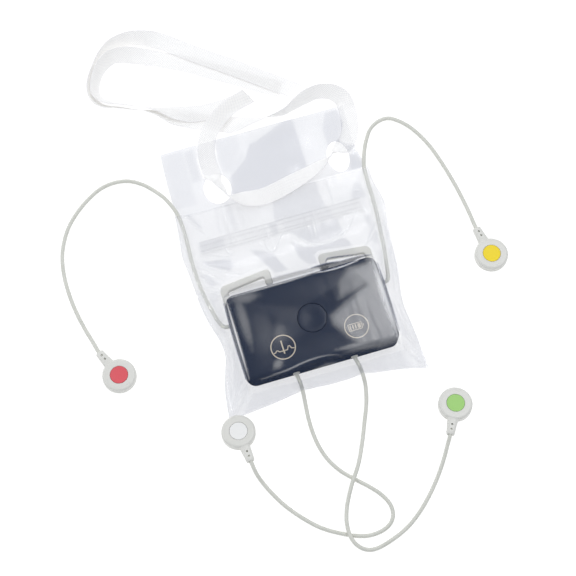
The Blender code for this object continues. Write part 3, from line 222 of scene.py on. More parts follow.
# Its middle line as shares of half the hole spacing, its roll in degrees, and its height in strap layers
STRAP_OUTER_SHARES = [
    (0.84, 1.09, 0, 0), (0.66, 1.235, 0, 0.6), (0.29, 1.53, 0, 1), (-0.24, 1.95, 0, 1),
    (-0.69, 2.29, 0, 1), (-0.98, 2.52, 0, 1), (-1.22, 2.69, -12, 0.8), (-1.47, 2.79, -42, 0.2),
    (-1.72, 2.84, -60, 0), (-1.97, 2.8, -66, 0), (-2.18, 2.66, -72, 0), (-2.34, 2.46, -74, 0),
    (-2.44, 2.29, -70, 0), (-2.49, 2.14, -65, 0), (-2.49, 1.99, -62, 0), (-2.44, 1.88, -60, 0),
    (-2.34, 1.8, -60, 0), (-2.16, 1.73, -62, 0), (-1.97, 1.64, -66, 0), (-1.77, 1.56, -68, 0),
    (-1.55, 1.46, -48, 0), (-1.33, 1.34, -12, 0), (-1.09, 1.23, 0, 0), (-0.85, 1.12, 0, 0),
    (-0.5, 0.98, 0, 0), (-0.25, 0.93, -38, 0), (0.02, 0.9, -65, 0), (0.33, 0.9, -90, 0),
    (0.54, 0.97, -105, 0.9), (0.74, 1.04, -118, 1.1), (0.96, 1.08, -122, 0.9), (1.17, 1.03, -132, 0.2),
    (1.32, 0.9, -158, 0), (1.35, 0.72, -180, 0), (1.33, 0.52, -180, 0), (1.28, 0.34, -180, 0),
    (1.2, 0.2, -180, 0), (1.09, 0.11, -176, 0), (0.99, 0.05, -140, 0.1), (0.88, -0.01, -98, 0.8),
    (0.79, -0.06, -112, 2.4), (0.67, -0.11, -130, 2.4), (0.49, -0.18, -150, 2.4), (0.22, -0.24, -168, 2.4),
    (-0.09, -0.31, -180, 2.4), (-0.37, -0.35, -180, 2.4), (-0.61, -0.32, -165, 2.4),
    (-0.78, -0.27, -132, 2.4), (-0.9, -0.17, -104, 0.9), (-0.94, -0.04, -118, 0.1),
    (-0.985, 0.09, -125, 0), (-1.01, 0.21, -165, 0), (-1.02, 0.36, -180, 0), (-1.02, 0.53, -180, 0.1),
    (-0.98, 0.72, -180, 1), (-0.88, 0.92, -180, 2), (-0.68, 1.12, -180, 2), (-0.42, 1.27, -180, 2),
    (-0.1, 1.37, -180, 2),
]
STRAP_INNER_SHARES = [
    (-0.1, 1.37, 0, 1), (-0.43, 1.3, 0, 1), (-0.77, 1.29, 0, 1), (-1.07, 1.33, 0, 1),
    (-1.32, 1.41, 25, 0.9), (-1.53, 1.51, 55, 0.4), (-1.74, 1.61, 68, 0), (-1.94, 1.7, 66, 0),
    (-2.13, 1.79, 62, 0), (-2.3, 1.87, 60, 0), (-2.38, 1.94, 60, 0), (-2.43, 2.03, 62, 0),
    (-2.43, 2.14, 65, 0), (-2.38, 2.27, 68, 0), (-2.3, 2.41, 66, 0), (-2.18, 2.53, 62, 0),
    (-2, 2.61, 56, 0), (-1.77, 2.58, 36, 0), (-1.53, 2.5, 13, 0), (-1.28, 2.39, 0, 0), (-0.88, 2.18, 0, 0),
    (-0.54, 1.96, 0, 0), (-0.22, 1.76, 0, 0), (0.13, 1.52, 0, 0), (0.44, 1.34, 0, 0),
]

# Pouch outline in millimetres: x against y up each side, and y against x along the lower weld and the mouth
LEFT_SIDE = [
    (-39, -58.2), (-28, -57), (-20, -55.5), (-12, -53), (-5, -50.8), (0, -50.5), (5, -51.2), (15, -54),
    (26, -56), (40, -57), (50, -57.8), (56, -58.4), (62, -58), (70, -57), (80, -56), (90, -55.3),
    (100, -55.2), (110, -54.8), (119, -54.3),
]
RIGHT_SIDE = [
    (-42, 54.2), (-25, 53.5), (-12, 52.6), (-5, 52), (2, 52.5), (10, 54), (18, 55.4), (30, 56.5),
    (40, 57.5), (50, 59), (57, 60), (62, 59.3), (70, 57.6), (78, 57), (84, 55.4), (90, 54.2), (119, 54),
]
LOWER_WELD = [
    (-58, -38.9), (-50, -38.5), (-40, -37.5), (-30, -36.5), (-20, -35.1), (-10, -34.7), (0, -35.4),
    (10, -35.4), (20, -35.1), (27, -36.3), (38, -38), (50, -40.5), (56, -41.8),
]
MOUTH = [(-58, 80.4), (-20, 79.6), (20, 79), (58, 78.4)]
HEADER_TOP = [(-58, 119), (0, 118.9), (58, 118.7)]
# Punched holes of the header in millimetres: middle and half sizes
HOLES = [(-28.5, 90.5, 7.8, 8.9), (42.6, 89.8, 6.3, 9.4)]
# The film's tones: a painted reflection of the dark casing, its clear tone, and a white for its welds and
# zip band and for its painted highlights and sheen
FILM_TONES = ["3C404A", "5E6A8C", "F8F8F9"]
FILM = 0.2
# In millimetres: the room between the films, and the zip's side, middle, half width and top
FILM_ROOM = 0.2
ZIP_SIDE, ZIP_MIDDLE, ZIP_HALF, ZIP_TOP = 47, 59, 3.9, 2.1
# Keeps a share of two distances from dividing by zero
NEARLY_NONE = 0.01
RIB_RADIUS = 0.25 * MM
RIBS_APART = {"zip_track_rear": 3.0 * MM, "zip_track_front": 7.0 * MM}
# The films' grids in millimetres: their steps, their straight part and the rim fitted to the outline
FRONT_STEP = 0.56
BACK_STEP = 0.9
GRID_SIDE = 46
GRID_LOW = -28
GRID_HIGH = 70
GRID_RIM = 10
# The zip's band, and a milky band down the header, in millimetres
ZIP_BAND = [(-48.5, 53.6), (49.5, 53.6), (49.5, 62.6), (-48.5, 62.6)]
BACK_BAND = [(24, 121), (38, 121), (39, 78), (25, 78)]
# How much each side of the film hides at its strongest painted highlights and reflections over the recorder,
# over a lead, and at its painted dark lines
HIGHLIGHT_COVER = 0.96
VEIL_COVER = 0.34
DARK_COVER = 0.93

# Creases of the front film in millimetres: points, half width, strength. They lift the film, and their
# whiteness is a painted highlight
CREASES = [
    # hanging from the zip band
    ([(-53, 83), (-48, 76), (-43, 67)], 1.0, 0.8),
    ([(-30, 80), (-29.5, 63), (-29.5, 55)], 1.3, 0.7),
    ([(-20, 78), (-20.5, 64)], 2.0, 0.35),
    ([(-11, 62), (-9.5, 54)], 1.6, 0.8),
    ([(31.5, 79), (31.5, 72), (31.5, 63)], 0.9, 0.5),
    ([(18, 63), (17.5, 54), (17, 46)], 0.9, 0.9),
    ([(13, 62), (14, 52), (13, 48)], 0.5, 0.6),
    ([(23, 65), (21.5, 60), (23, 54)], 0.4, 0.8),
    ([(-34, 58), (-33.5, 52), (-31.5, 50.5), (-29.5, 53)], 0.4, 0.8),
    ([(-12, 54), (-11.5, 48), (-9, 45.5), (-6, 48), (-2, 53), (1, 54.5), (4, 53.5)], 0.55, 0.8),
    ([(4, 54), (8, 49), (12, 44.5), (16, 42), (21, 41), (28, 42), (33, 44.5), (37, 48.5), (41, 53)],
     0.6, 1.0),
    ([(-47, 55.5), (-41, 52.5), (-36, 50.5), (-31, 50)], 0.5, 0.7),
    # gathered at the left side, then at the right side
    ([(-54, 51), (-46, 43), (-40, 36)], 0.9, 1.0),
    ([(-53, 52), (-43, 45), (-31, 37)], 1.2, 0.8),
    ([(-54, 49), (-50, 42), (-46, 36)], 0.8, 0.8),
    ([(-52, 38), (-46, 32), (-43, 30)], 1.2, 1.0),
    ([(-53, 33), (-48, 30), (-44, 27)], 0.9, 0.8),
    ([(54, 50), (50, 43), (45, 37), (41, 33)], 0.9, 1.0),
    ([(56, 46), (52, 41), (48, 36)], 0.8, 0.8),
    ([(57, 40), (53, 34)], 0.8, 0.7),
    # down to the lower corners
    ([(-43, -24), (-49, -30), (-57, -38)], 1.6, 1.0),
    ([(-47, -22), (-52, -29), (-57, -36)], 0.8, 0.9),
    ([(-47, 4), (-48.5, -10), (-54, -28)], 1.4, 0.8),
    ([(-52, -15), (-53.5, -19)], 1.1, 1.0),
    ([(42, -25), (48, -32), (53, -40)], 1.4, 1.0),
    ([(46, -20), (50, -29), (53, -38)], 0.7, 0.9),
    ([(49, -4), (50, -18), (52.5, -32)], 1.5, 0.9),
    ([(46, -2), (47, -12), (49, -20)], 0.8, 0.7),
    # up the sides
    ([(-47, 6), (-49, 16), (-52, 24)], 1.3, 0.8),
    ([(-45, 26), (-50, 29), (-55, 34)], 1.2, 0.8),
    ([(46, 12), (48, 22), (52, 32)], 1.2, 0.9),
    ([(49, 4), (50.5, 12), (53, 22)], 0.8, 0.7),
]
# Painted highlights over the recorder, where the film is pulled tight: white streaks along its creases and
# the casing's rounded edges, and a broad painted sheen on the left
TIGHT_PAINTED_HIGHLIGHTS = [
    ([(-42, 23.7), (-30, 23.4), (0, 23.5), (8, 24)], 0.5, 0.5),
    ([(4, 24.2), (8, 24), (14, 23.2), (22, 22.9), (30, 23.6), (36, 24.9), (40, 26)], 0.42, 0.9),
    ([(-36, -24.7), (-28, -24.3), (-20, -23.8), (-12, -22.6), (-5, -22.1), (0, -22.3), (6, -23.3),
      (9, -24.8)], 0.45, 0.45),
    ([(-12, -27.5), (-4, -26.6), (2, -26.2), (8, -26.8)], 0.6, 0.2),
    ([(41.2, 27), (41.2, 0), (41.2, -26)], 1.7, 1.0),
    ([(39.3, 22), (39.4, 0), (39.3, -22)], 1.8, 0.5),
    ([(-42.2, 26), (-42.2, -23)], 0.6, 0.9),
    ([(-36.3, 26), (-36, 8), (-36, -8)], 3.2, 0.23),
    ([(-40, 21.5), (-24, 20.5)], 3.6, 0.24),
    ([(-30, 14), (-27, 0), (-31, -16)], 9.0, 0.11),
    ([(7, -20.8), (13, -21.3), (20, -21.6), (34, -22)], 1.8, 0.3),
    ([(-28, -21.5), (-22, -17.5)], 2.6, 0.28),
    ([(-22, -10), (-17, 3)], 5.0, 0.16),
    ([(10, -23.6), (20, -23.4), (32, -24.2), (40, -24.8)], 1.6, 0.22),
]
# Outlines in millimetres over the recorder inside which a reflection of the light is painted on the film in
# white, and how strong
TIGHT_PAINTED_REFLECTIONS = [
    ([(10, -2), (20, 3), (30, 8), (39.5, 12), (39.5, -24.5), (21, -22.5), (14, -13), (10, -7)], 0.345),
    ([(17, 6), (19, 14), (26, 21.5), (39.5, 21.5), (39.5, 12), (30, 8)], 0.26),
    ([(26, 21), (37, 21), (40, 26), (43, 26), (43, -25), (30, -25), (34, 8)], 0.36),
]
# Outlines in millimetres where the film leaves the recorder's upper edge, with its tone and its cover: a
# painted highlight along the edge, and painted dark reflection and shade beyond it towards the hooks
EDGE_PAINTED_LIGHT_AND_SHADE = [
    ([(-43, 23.2), (-43, 25.4), (9, 25.4), (12, 24), (0, 23.3), (-20, 23)], 0.8, 0.22),
    ([(-43, 25.3), (-40, 27.4), (-26, 28.6), (-15, 28.4), (-15, 25.3)], -1.0, 0.17),
    ([(-15, 25.3), (-15, 28.4), (0, 28.2), (12, 27.6), (12, 25.3)], -1.0, 0.28),
    ([(12, 23.6), (12, 27.4), (26, 27), (38, 27), (42, 25.5), (36, 25.4), (30, 24.2), (20, 23.4)],
     -1.0, 0.55),
]
# Dark lines in millimetres painted on the film: reflections of the casing's side edges, and shade by the
# right hook's slot
DARK_LINES = [
    ([(43.5, 20), (43.6, 0), (43.4, -19)], 0.75, 1.0),
    ([(-43.7, 22), (-43.8, 0), (-43.6, -22)], 0.45, 1.0),
    ([(8, 27.7), (16, 27.5), (23, 27)], 0.7, 1.0),
    ([(16, 27.8), (18, 31), (24, 30.2), (34, 28)], 0.3, 0.7),
]
# How much the film veils the leads that run inside the pouch, and half the veil's width in millimetres
VEILED_LEADS = {"red": 0.5, "yellow": 0.8}
VEIL_REACH = 2.0
# Outlines in millimetres where a film clings to the ribbon or the hooks and hides less
CLINGING = [
    [(-34.5, 99), (-23.5, 98), (-24, 107), (-22, 119.5), (-32.5, 119.5), (-35, 108)],
    [(46, 99), (49, 95.5), (56, 93), (58, 119.5), (50.5, 119.5), (51, 108)],
    [(-44, 25), (-44, 32), (-40, 35.5), (-15, 38), (-13, 31), (-13, 25)],
    [(44, 25), (44, 31), (40, 34), (15, 38), (12, 36), (12, 25)],
]
# Outlines in millimetres inside which a film is clear, without its whiteness and painted sheen, and how
# clear
FRONT_CLEAR = [
    ([(-2.5, 62), (-2.5, 66), (-1, 74), (0, 79.5), (26, 79.5), (26, 70), (27.5, 62)], 1.0),
    ([(-52, 84), (-50, 84), (-44, 74), (-43, 70), (-46, 73), (-49, 79)], 0.9),
    ([(-47, 62.5), (-33, 62), (-34, 56.5), (-48, 56)], 0.45),
    ([(-27, 80), (-24.5, 80), (-23.5, 63), (-27, 63)], 0.6),
    ([(-33, 82), (-32, 82), (-34, 65), (-35, 65)], 0.7),
    ([(-48, 51), (-33, 48.5), (-32, 43), (-36, 41), (-43, 45)], 1.0),
    ([(-52, 44), (-48, 43), (-43, 35), (-47, 35)], 0.8),
    ([(50, 47), (54, 42), (50, 33), (47, 33), (44, 38)], 0.7),
    ([(-20.5, 50), (-14, 47.5), (-9, 43.5), (-7.5, 39), (-4.5, 31), (-11, 31), (-15, 38)], 1.0),
    ([(2.5, 48), (8, 43), (14, 41), (31, 41.5), (33, 39), (35, 30), (8, 30), (4, 36)], 1.0),
    ([(4, 54), (31, 54), (32, 44), (20, 42.5), (13, 44)], 0.85),
    ([(1, 62), (29, 62), (30, 54), (1, 54)], 0.3),
    ([(42.5, 62.5), (50.5, 62.5), (50, 73), (47.5, 73), (44, 68)], 1.0),
    ([(-7, 62), (-2.5, 62), (-3, 55), (-6, 55)], 0.6),
    ([(46, 52), (50, 52), (49, 46), (47, 42)], 0.6),
    ([(-40, -27.5), (40, -27.5), (46, -38), (-50, -38)], 1.0),
    ([(-54, 31), (-46, 31), (-45, 12), (-49, 20)], 0.7),
    ([(-49, -6), (-44.5, -2), (-44.5, -22), (-51, -27)], 0.9),
    ([(44.5, -2), (46, -2), (49, -26), (44.5, -22)], 0.9),
    ([(45, 27), (50, 30), (47, 12), (45, 10)], 0.7),
    ([(51, 20), (54, 30), (55, 44), (56, 44), (55, 20), (53, 8)], 0.6),
]
BACK_CLEAR = [
    ([(-21, 86), (-19.5, 95), (-8, 104), (-4, 111), (1, 112), (20, 119.5), (24, 119.5), (24, 80), (-6, 80),
      (-21, 84)], 1.0),
    ([(-41, 98), (-36, 98), (-36, 117), (-41, 116)], 0.5),
    ([(39, 98), (47, 98), (51, 108), (51, 117), (43, 117), (39, 108)], 0.7),
    ([(-22, 119), (-23, 100), (-17, 97), (-9, 104), (-10, 119)], 0.35),
    ([(47, 80), (54, 79), (54, 89), (49, 89)], 1.0),
    ([(-55, 85), (-42, 85), (-42, 118), (-55, 118)], 0.35),
]
# Painted highlights along creases of the header: points, half width, strength
BACK_CREASE_HIGHLIGHTS = [
    ([(28, 119), (29.5, 105), (31.5, 95), (31, 80)], 0.9, 0.6),
    ([(-7, 119), (-8, 112), (-12, 106), (-17, 99)], 1.2, 0.5),
]


def linear(colour):
    """An sRGB hex colour as linear light with full alpha."""
    channels = [int(colour[i : i + 2], 16) / 255 for i in (0, 2, 4)]
    return (*[c / 12.92 if c <= 0.04045 else ((c + 0.055) / 1.055) ** 2.4 for c in channels], 1.0)


# Materials
COORDINATES, MAPPING = "ShaderNodeTexCoord", "ShaderNodeMapping"
NOISE, MIX = "ShaderNodeTexNoise", "ShaderNodeMix"
MAP_RANGE, MATH, BUMP = "ShaderNodeMapRange", "ShaderNodeMath", "ShaderNodeBump"


def set_inputs(tree, node, inputs):
    """Sets a node's inputs, each to a value or linked to a socket."""
    for name, value in inputs.items():
        if isinstance(value, bpy.types.NodeSocket):
            tree.links.new(value, node.inputs[name])
        else:
            node.inputs[name].default_value = value


def add_node(tree, kind, output, inputs, **settings):
    """Adds one node and gives one of its outputs; settings are its properties, inputs as in set_inputs."""
    made = tree.nodes.new(kind)
    for name, value in settings.items():
        setattr(made, name, value)
    set_inputs(tree, made, inputs)
    return made.outputs[output] if output else None


def set_shader(made, inputs):
    """Sets inputs of a material's shader and gives the material."""
    set_inputs(made.node_tree, made.node_tree.nodes["Principled BSDF"], inputs)
    return made


def new_material(name, roughness, metallic=0.0, ior=1.5):
    """A material and its node tree. A metal keeps the default IOR.

    Its patterns read the object's own coordinates, which are metres in the frame.
    """
    made = bpy.data.materials.new(name)
    made.use_nodes = True
    set_shader(made, {"Roughness": roughness, "Metallic": metallic})
    if not metallic:
        set_shader(made, {"IOR": ior})
    return made, made.node_tree


def moulded_plastic(name, colour, shade, roughness, gloss=0.5):
    """Injection-moulded plastic: a spark-eroded grain in the highlights and a faint drift of colour.

    The grain is drawn coarser than the real one, so that it shows.
    """
    made, tree = new_material(name, roughness)
    place = add_node(tree, COORDINATES, "Object", {})
    drift = add_node(tree, NOISE, "Fac", {"Vector": place, "Scale": 1 / (14 * MM), "Detail": 2.0})
    grain = add_node(tree, NOISE, "Fac", {"Vector": place, "Scale": 1 / (0.9 * MM), "Detail": 1.0})
    colours = {"Factor": drift, "A": linear(colour), "B": linear(shade)}
    spread = {"Value": grain, "To Min": roughness - 0.06, "To Max": roughness + 0.06}
    bump = {"Height": grain, "Distance": 0.02 * MM, "Strength": 0.4}
    inputs = {
        "Specular IOR Level": gloss,
        "Base Color": add_node(tree, MIX, "Result", colours, data_type="RGBA"),
        "Roughness": add_node(tree, MAP_RANGE, "Result", spread),
        "Normal": add_node(tree, BUMP, "Normal", bump),
    }
    return set_shader(made, inputs)


def matte_walls(made, gloss):
    """Leaves a plastic's gloss to the faces that look up: its walls are matte."""
    tree = made.node_tree
    normal = add_node(tree, "ShaderNodeNewGeometry", "Normal", {})
    facing = add_node(tree, "ShaderNodeSeparateXYZ", "Z", {"Vector": normal})
    level = {"Value": facing, "From Min": 0.4, "From Max": 0.9, "To Min": 0.0, "To Max": gloss}
    set_shader(made, {"Specular IOR Level": add_node(tree, MAP_RANGE, "Result", level)})


def metal(name, colour, shade, roughness, stretch=(1, 1, 1)):
    """Plated or turned metal: fine tool marks along one direction and small changes of gloss."""
    made, tree = new_material(name, roughness, metallic=1.0)
    place = add_node(tree, COORDINATES, "Object", {})
    along = add_node(tree, MAPPING, "Vector", {"Vector": place, "Scale": stretch})
    marks = add_node(tree, NOISE, "Fac", {"Vector": along, "Scale": 1 / (0.6 * MM), "Detail": 3.0})
    colours = {"Factor": marks, "A": linear(colour), "B": linear(shade)}
    spread = {"Value": marks, "To Min": roughness * 0.7, "To Max": roughness * 1.3}
    inputs = {
        "Base Color": add_node(tree, MIX, "Result", colours, data_type="RGBA"),
        "Roughness": add_node(tree, MAP_RANGE, "Result", spread),
    }
    return set_shader(made, inputs)


def lead_jacket():
    """Soft PVC drawn over the wire: satin, with faint ripples from the extruder and a waxy, patchy lighter
    tone.
    """
    made, tree = new_material("soft_pvc_jacket_extruded", 0.42)
    place = add_node(tree, COORDINATES, "Object", {})
    lightness = add_node(tree, NOISE, "Fac", {"Vector": place, "Scale": 1 / (5 * MM), "Detail": 3.0})
    ripple = add_node(tree, NOISE, "Fac", {"Vector": place, "Scale": 1 / (1.3 * MM), "Detail": 1.0})
    colours = {"Factor": lightness, "A": linear("CCCDC4"), "B": linear("DEDED6")}
    bump = {"Height": ripple, "Distance": 0.03 * MM, "Strength": 0.5}
    inputs = {
        "Base Color": add_node(tree, MIX, "Result", colours, data_type="RGBA"),
        "Normal": add_node(tree, BUMP, "Normal", bump),
        "Subsurface Weight": 0.08,
        "Subsurface Radius": (1.2 * MM, 1.1 * MM, 1.0 * MM),
    }
    return set_shader(made, inputs)


def clear_film(name):
    """Calendered vinyl film: glossy and tinted faintly blue-grey.

    A point attribute sets its tone: whiter at its welds and zip band and where highlights and sheen are
    painted on it, and below zero painted dark, for reflections of the dark casing and for shade.
    Its cover attribute says how much each of its two sides hides.
    """
    made, tree = new_material(name, 0.1, ior=1.53)
    place = add_node(tree, COORDINATES, "Object", {})
    cloud = add_node(tree, NOISE, "Fac", {"Vector": place, "Scale": 1 / (16 * MM), "Detail": 2.0})
    uneven = add_node(tree, MAP_RANGE, "Result", {"Value": cloud, "To Min": 0.75, "To Max": 1.25})
    # Painted highlights, sheen, dark reflections and shade reach the film through this point attribute.
    lightness = add_node(tree, "ShaderNodeAttribute", "Fac", {}, attribute_name="lightness")
    cover = add_node(tree, "ShaderNodeAttribute", "Fac", {}, attribute_name="cover")
    varied_lightness = add_node(tree, MATH, "Value", {0: lightness, 1: uneven}, operation="MULTIPLY")
    share = add_node(tree, MAP_RANGE, "Result", {"Value": varied_lightness, "From Min": -1.0})
    tone = add_node(tree, "ShaderNodeValToRGB", "Color", {"Fac": share})
    stops = tone.node.color_ramp.elements
    stops.new(0.5)
    for stop, colour in zip(stops, FILM_TONES):
        stop.color = linear(colour)
    drawn = add_node(tree, MAPPING, "Vector", {"Vector": place, "Scale": (1.0, 0.25, 1.0)})
    ripple = add_node(tree, NOISE, "Fac", {"Vector": drawn, "Scale": 1 / (8 * MM), "Detail": 2.0})
    bump = {"Height": ripple, "Distance": 0.35 * MM, "Strength": 0.5}
    inputs = {
        "Base Color": tone,
        "Alpha": cover,
        "Normal": add_node(tree, BUMP, "Normal", bump),
        "Specular IOR Level": 0.6,
    }
    return set_shader(made, inputs)


def woven_ribbon():
    """Narrow woven polyester: diagonal rows of raised threads in white yarn, denser at its edges."""
    made, tree = new_material("polyester_ribbon_woven", 0.75)
    across = add_node(tree, "ShaderNodeUVMap", "UV", {}, uv_map="weave")
    slanted = add_node(tree, MAPPING, "Vector", {"Vector": across, "Rotation": (0, 0, radians(45))})
    rows = {"Vector": slanted, "Scale": 1.0, "Randomness": 0.1}
    threads = add_node(tree, "ShaderNodeTexVoronoi", "Distance", rows, voronoi_dimensions="2D")
    fall = {"Value": threads, "From Min": 0.1, "From Max": 0.6, "To Min": 1.0, "To Max": 0.0}
    lift = add_node(tree, MAP_RANGE, "Result", fall)
    half = STRAP_WIDTH / STRAP_THREAD / 2
    place = add_node(tree, "ShaderNodeSeparateXYZ", "X", {"Vector": across})
    away = add_node(tree, MATH, "Value", {0: place, 1: half}, operation="SUBTRACT")
    reach = add_node(tree, MATH, "Value", {0: away}, operation="ABSOLUTE")
    outer = {"Value": reach, "From Min": half - 0.7, "From Max": half - 0.1}
    # Its edges take a darker tone: partly the selvedge's own, partly painted shade.
    selvedge_and_shade = add_node(tree, MAP_RANGE, "Result", outer)
    colours = {"Factor": lift, "A": linear("E4E4E6"), "B": linear("FFFEFB")}
    weave = add_node(tree, MIX, "Result", colours, data_type="RGBA")
    yarn = {"Factor": selvedge_and_shade, "A": weave, "B": linear("EEEDEF")}
    bump = {"Height": lift, "Distance": 0.12 * MM, "Strength": 0.7}
    inputs = {
        "Base Color": add_node(tree, MIX, "Result", yarn, data_type="RGBA"),
        "Normal": add_node(tree, BUMP, "Normal", bump),
        # A faint glow: painted light standing in for light that passes through the thin ribbon.
        "Emission Color": linear("FFFCF4"),
        "Emission Strength": 0.1,
        "Subsurface Weight": 0.35,
        "Subsurface Radius": (1.0, 1.0, 1.0),
        "Subsurface Scale": 1.5 * MM,
        "Sheen Weight": 0.15,
        "Sheen Roughness": 0.5,
        "Alpha": 0.94,
    }
    return set_shader(made, inputs)


def pad_printed_ink():
    """Pad-printed ink: a thin warm sand-coloured layer with a slightly uneven body."""
    made, tree = new_material("pad_printed_ink_sand", 0.5)
    place = add_node(tree, COORDINATES, "Object", {})
    grain = add_node(tree, NOISE, "Fac", {"Vector": place, "Scale": 1 / (0.8 * MM)})
    colours = {"Factor": grain, "A": linear("BDB19C"), "B": linear("D8CDB9")}
    return set_shader(made, {"Base Color": add_node(tree, MIX, "Result", colours, data_type="RGBA")})


def clear_plastic(name, colour, alpha):
    """Clear or milky moulded plastic: smooth, with a faint flow pattern in its body."""
    made, tree = new_material(name, 0.12, ior=1.49)
    place = add_node(tree, COORDINATES, "Object", {})
    flow = add_node(tree, NOISE, "Fac", {"Vector": place, "Scale": 1 / (2.5 * MM), "Detail": 2.0})
    colours = {"Factor": flow, "A": linear(colour), "B": linear("FFFFFF")}
    body = {"Value": flow, "To Min": alpha * 0.8, "To Max": alpha * 1.2}
    inputs = {
        "Base Color": add_node(tree, MIX, "Result", colours, data_type="RGBA"),
        "Alpha": add_node(tree, MAP_RANGE, "Result", body),
    }
    return set_shader(made, inputs)


# Meshes
JOIN, CUT = "UNION", "DIFFERENCE"


def add_object(name, data):
    """An object in the scene that rides on no body yet."""
    obj = bpy.data.objects.new(name, data)
    bpy.context.scene.collection.objects.link(obj)
    return obj


def add_piece(name, mesh, finish, body=BODY):
    """A visible piece with its material, riding on its body."""
    obj = add_object(name, mesh)
    if finish:
        mesh.materials.append(finish)
    if body:
        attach(obj, body)
    return obj


def final_mesh(obj):
    """The mesh that an object's modifiers leave; the object itself is removed."""
    mesh = bpy.data.meshes.new_from_object(obj.evaluated_get(bpy.context.evaluated_depsgraph_get()))
    bpy.data.objects.remove(obj)
    return mesh


def plain_mesh(name, bm):
    """The mesh of a bmesh, which is freed."""
    mesh = bpy.data.meshes.new(name)
    bm.to_mesh(mesh)
    bm.free()
    return mesh


def mesh_from(name, bm):
    """The mesh of a bmesh with its faces turned outwards."""
    bmesh.ops.recalc_face_normals(bm, faces=bm.faces)
    return plain_mesh(name, bm)


def rounded_box(name, low, high, corner, top=0.0, bottom=0.0, segments=10):
    """A box between two corners, with rounded upright edges and rounded top and bottom rims."""
    bm = bmesh.new()
    bmesh.ops.create_cube(bm, size=1)
    bmesh.ops.scale(bm, vec=high - low, verts=bm.verts)
    bmesh.ops.translate(bm, vec=(high + low) / 2, verts=bm.verts)
    upright = [e for e in bm.edges if abs(e.verts[0].co.z - e.verts[1].co.z) > MM / 10]
    bmesh.ops.bevel(bm, geom=upright, offset=corner, segments=segments, profile=0.5, affect="EDGES")
    for level, radius in ((high.z, top), (low.z, bottom)):
        rim = [e for e in bm.edges if all(abs(v.co.z - level) < MM / 100 for v in e.verts)]
        if radius:
            bmesh.ops.bevel(bm, geom=rim, offset=radius, segments=segments, profile=0.5, affect="EDGES")
    return mesh_from(name, bm)


def turned(name, profile, steps=64):
    """A closed profile of (radius, height) points, outer side from top to bottom, spun round Z."""
    bm = bmesh.new()
    ring = [bm.verts.new((r, 0, z)) for r, z in profile]
    edges = [bm.edges.new((a, b)) for a, b in zip(ring, ring[1:])]
    if profile[0][0] or profile[-1][0]:
        edges.append(bm.edges.new((ring[-1], ring[0])))
    bmesh.ops.spin(bm, geom=ring + edges, axis=(0, 0, 1), cent=(0, 0, 0), angle=2 * pi, steps=steps)
    bmesh.ops.remove_doubles(bm, verts=bm.verts, dist=MM / 500)
    return mesh_from(name, bm)


def arc(centre, radius, start, end, steps=8):
    """Points of an arc from start to end degrees, both ends included."""
    angles = [radians(start + (end - start) * i / steps) for i in range(steps + 1)]
    return [(centre[0] + radius * cos(a), centre[1] + radius * sin(a)) for a in angles]


def cylinder(name, radius, low, high, place=(0, 0), sides=48):
    """An upright cylinder from one height to another."""
    bm = bmesh.new()
    size = {"segments": sides, "radius1": radius, "radius2": radius, "depth": high - low}
    bmesh.ops.create_cone(bm, cap_ends=True, **size)
    bmesh.ops.translate(bm, vec=Vector((*place, (low + high) / 2)), verts=bm.verts)
    return mesh_from(name, bm)


def poly_curve(name, dimensions, points, bevel):
    """A curve of straight runs through its points, with one spline and a rounded bevel."""
    curve = bpy.data.curves.new(name, "CURVE")
    curve.dimensions = dimensions
    curve.bevel_depth = bevel
    curve.bevel_resolution = 3
    spline = curve.splines.new("POLY")
    spline.points.add(len(points) - 1)
    for knot, point in zip(spline.points, points):
        knot.co = (*point, 1)
    return curve, spline


def plate(name, outline, low, high, ease):
    """A flat outline extruded from low to high with eased edges."""
    curve, spline = poly_curve(name, "2D", [(x, y, 0) for x, y in outline], ease)
    curve.fill_mode = "BOTH"
    curve.extrude = (high - low) / 2 - ease
    curve.offset = -ease
    spline.use_cyclic_u = True
    mesh = final_mesh(add_object(name, curve))
    bpy.data.curves.remove(curve)
    bm = bmesh.new()
    bm.from_mesh(mesh)
    bpy.data.meshes.remove(mesh)
    bmesh.ops.remove_doubles(bm, verts=bm.verts, dist=MM / 500)
    bmesh.ops.translate(bm, vec=Vector((0, 0, (low + high) / 2)), verts=bm.verts)
    return mesh_from(name, bm)


def combined(name, base, steps, ease=0.0, angle=35):
    """The mesh of base after joining or cutting each (operation, mesh), with its sharp edges eased."""
    obj = add_object(name, base)
    others = []
    for number, (operation, mesh) in enumerate(steps):
        others.append(add_object(f"{name}_{number}", mesh))
        change = obj.modifiers.new(f"step_{number}", "BOOLEAN")
        change.operation = operation
        change.object = others[-1]
        change.solver = "EXACT"
    if ease:
        soften = obj.modifiers.new("eased_edges", "BEVEL")
        soften.width = ease
        soften.segments = 3
        soften.limit_method = "ANGLE"
        soften.angle_limit = radians(angle)
        soften.use_clamp_overlap = True
    mesh = final_mesh(obj)
    for other in others:
        bpy.data.objects.remove(other)
    return mesh


def smooth_shading(mesh, angle=35):
    """Smooth shading, with sharp edges where faces meet at more than an angle."""
    mesh.shade_smooth()
    mesh.set_sharp_from_angle(angle=radians(angle))
    return mesh


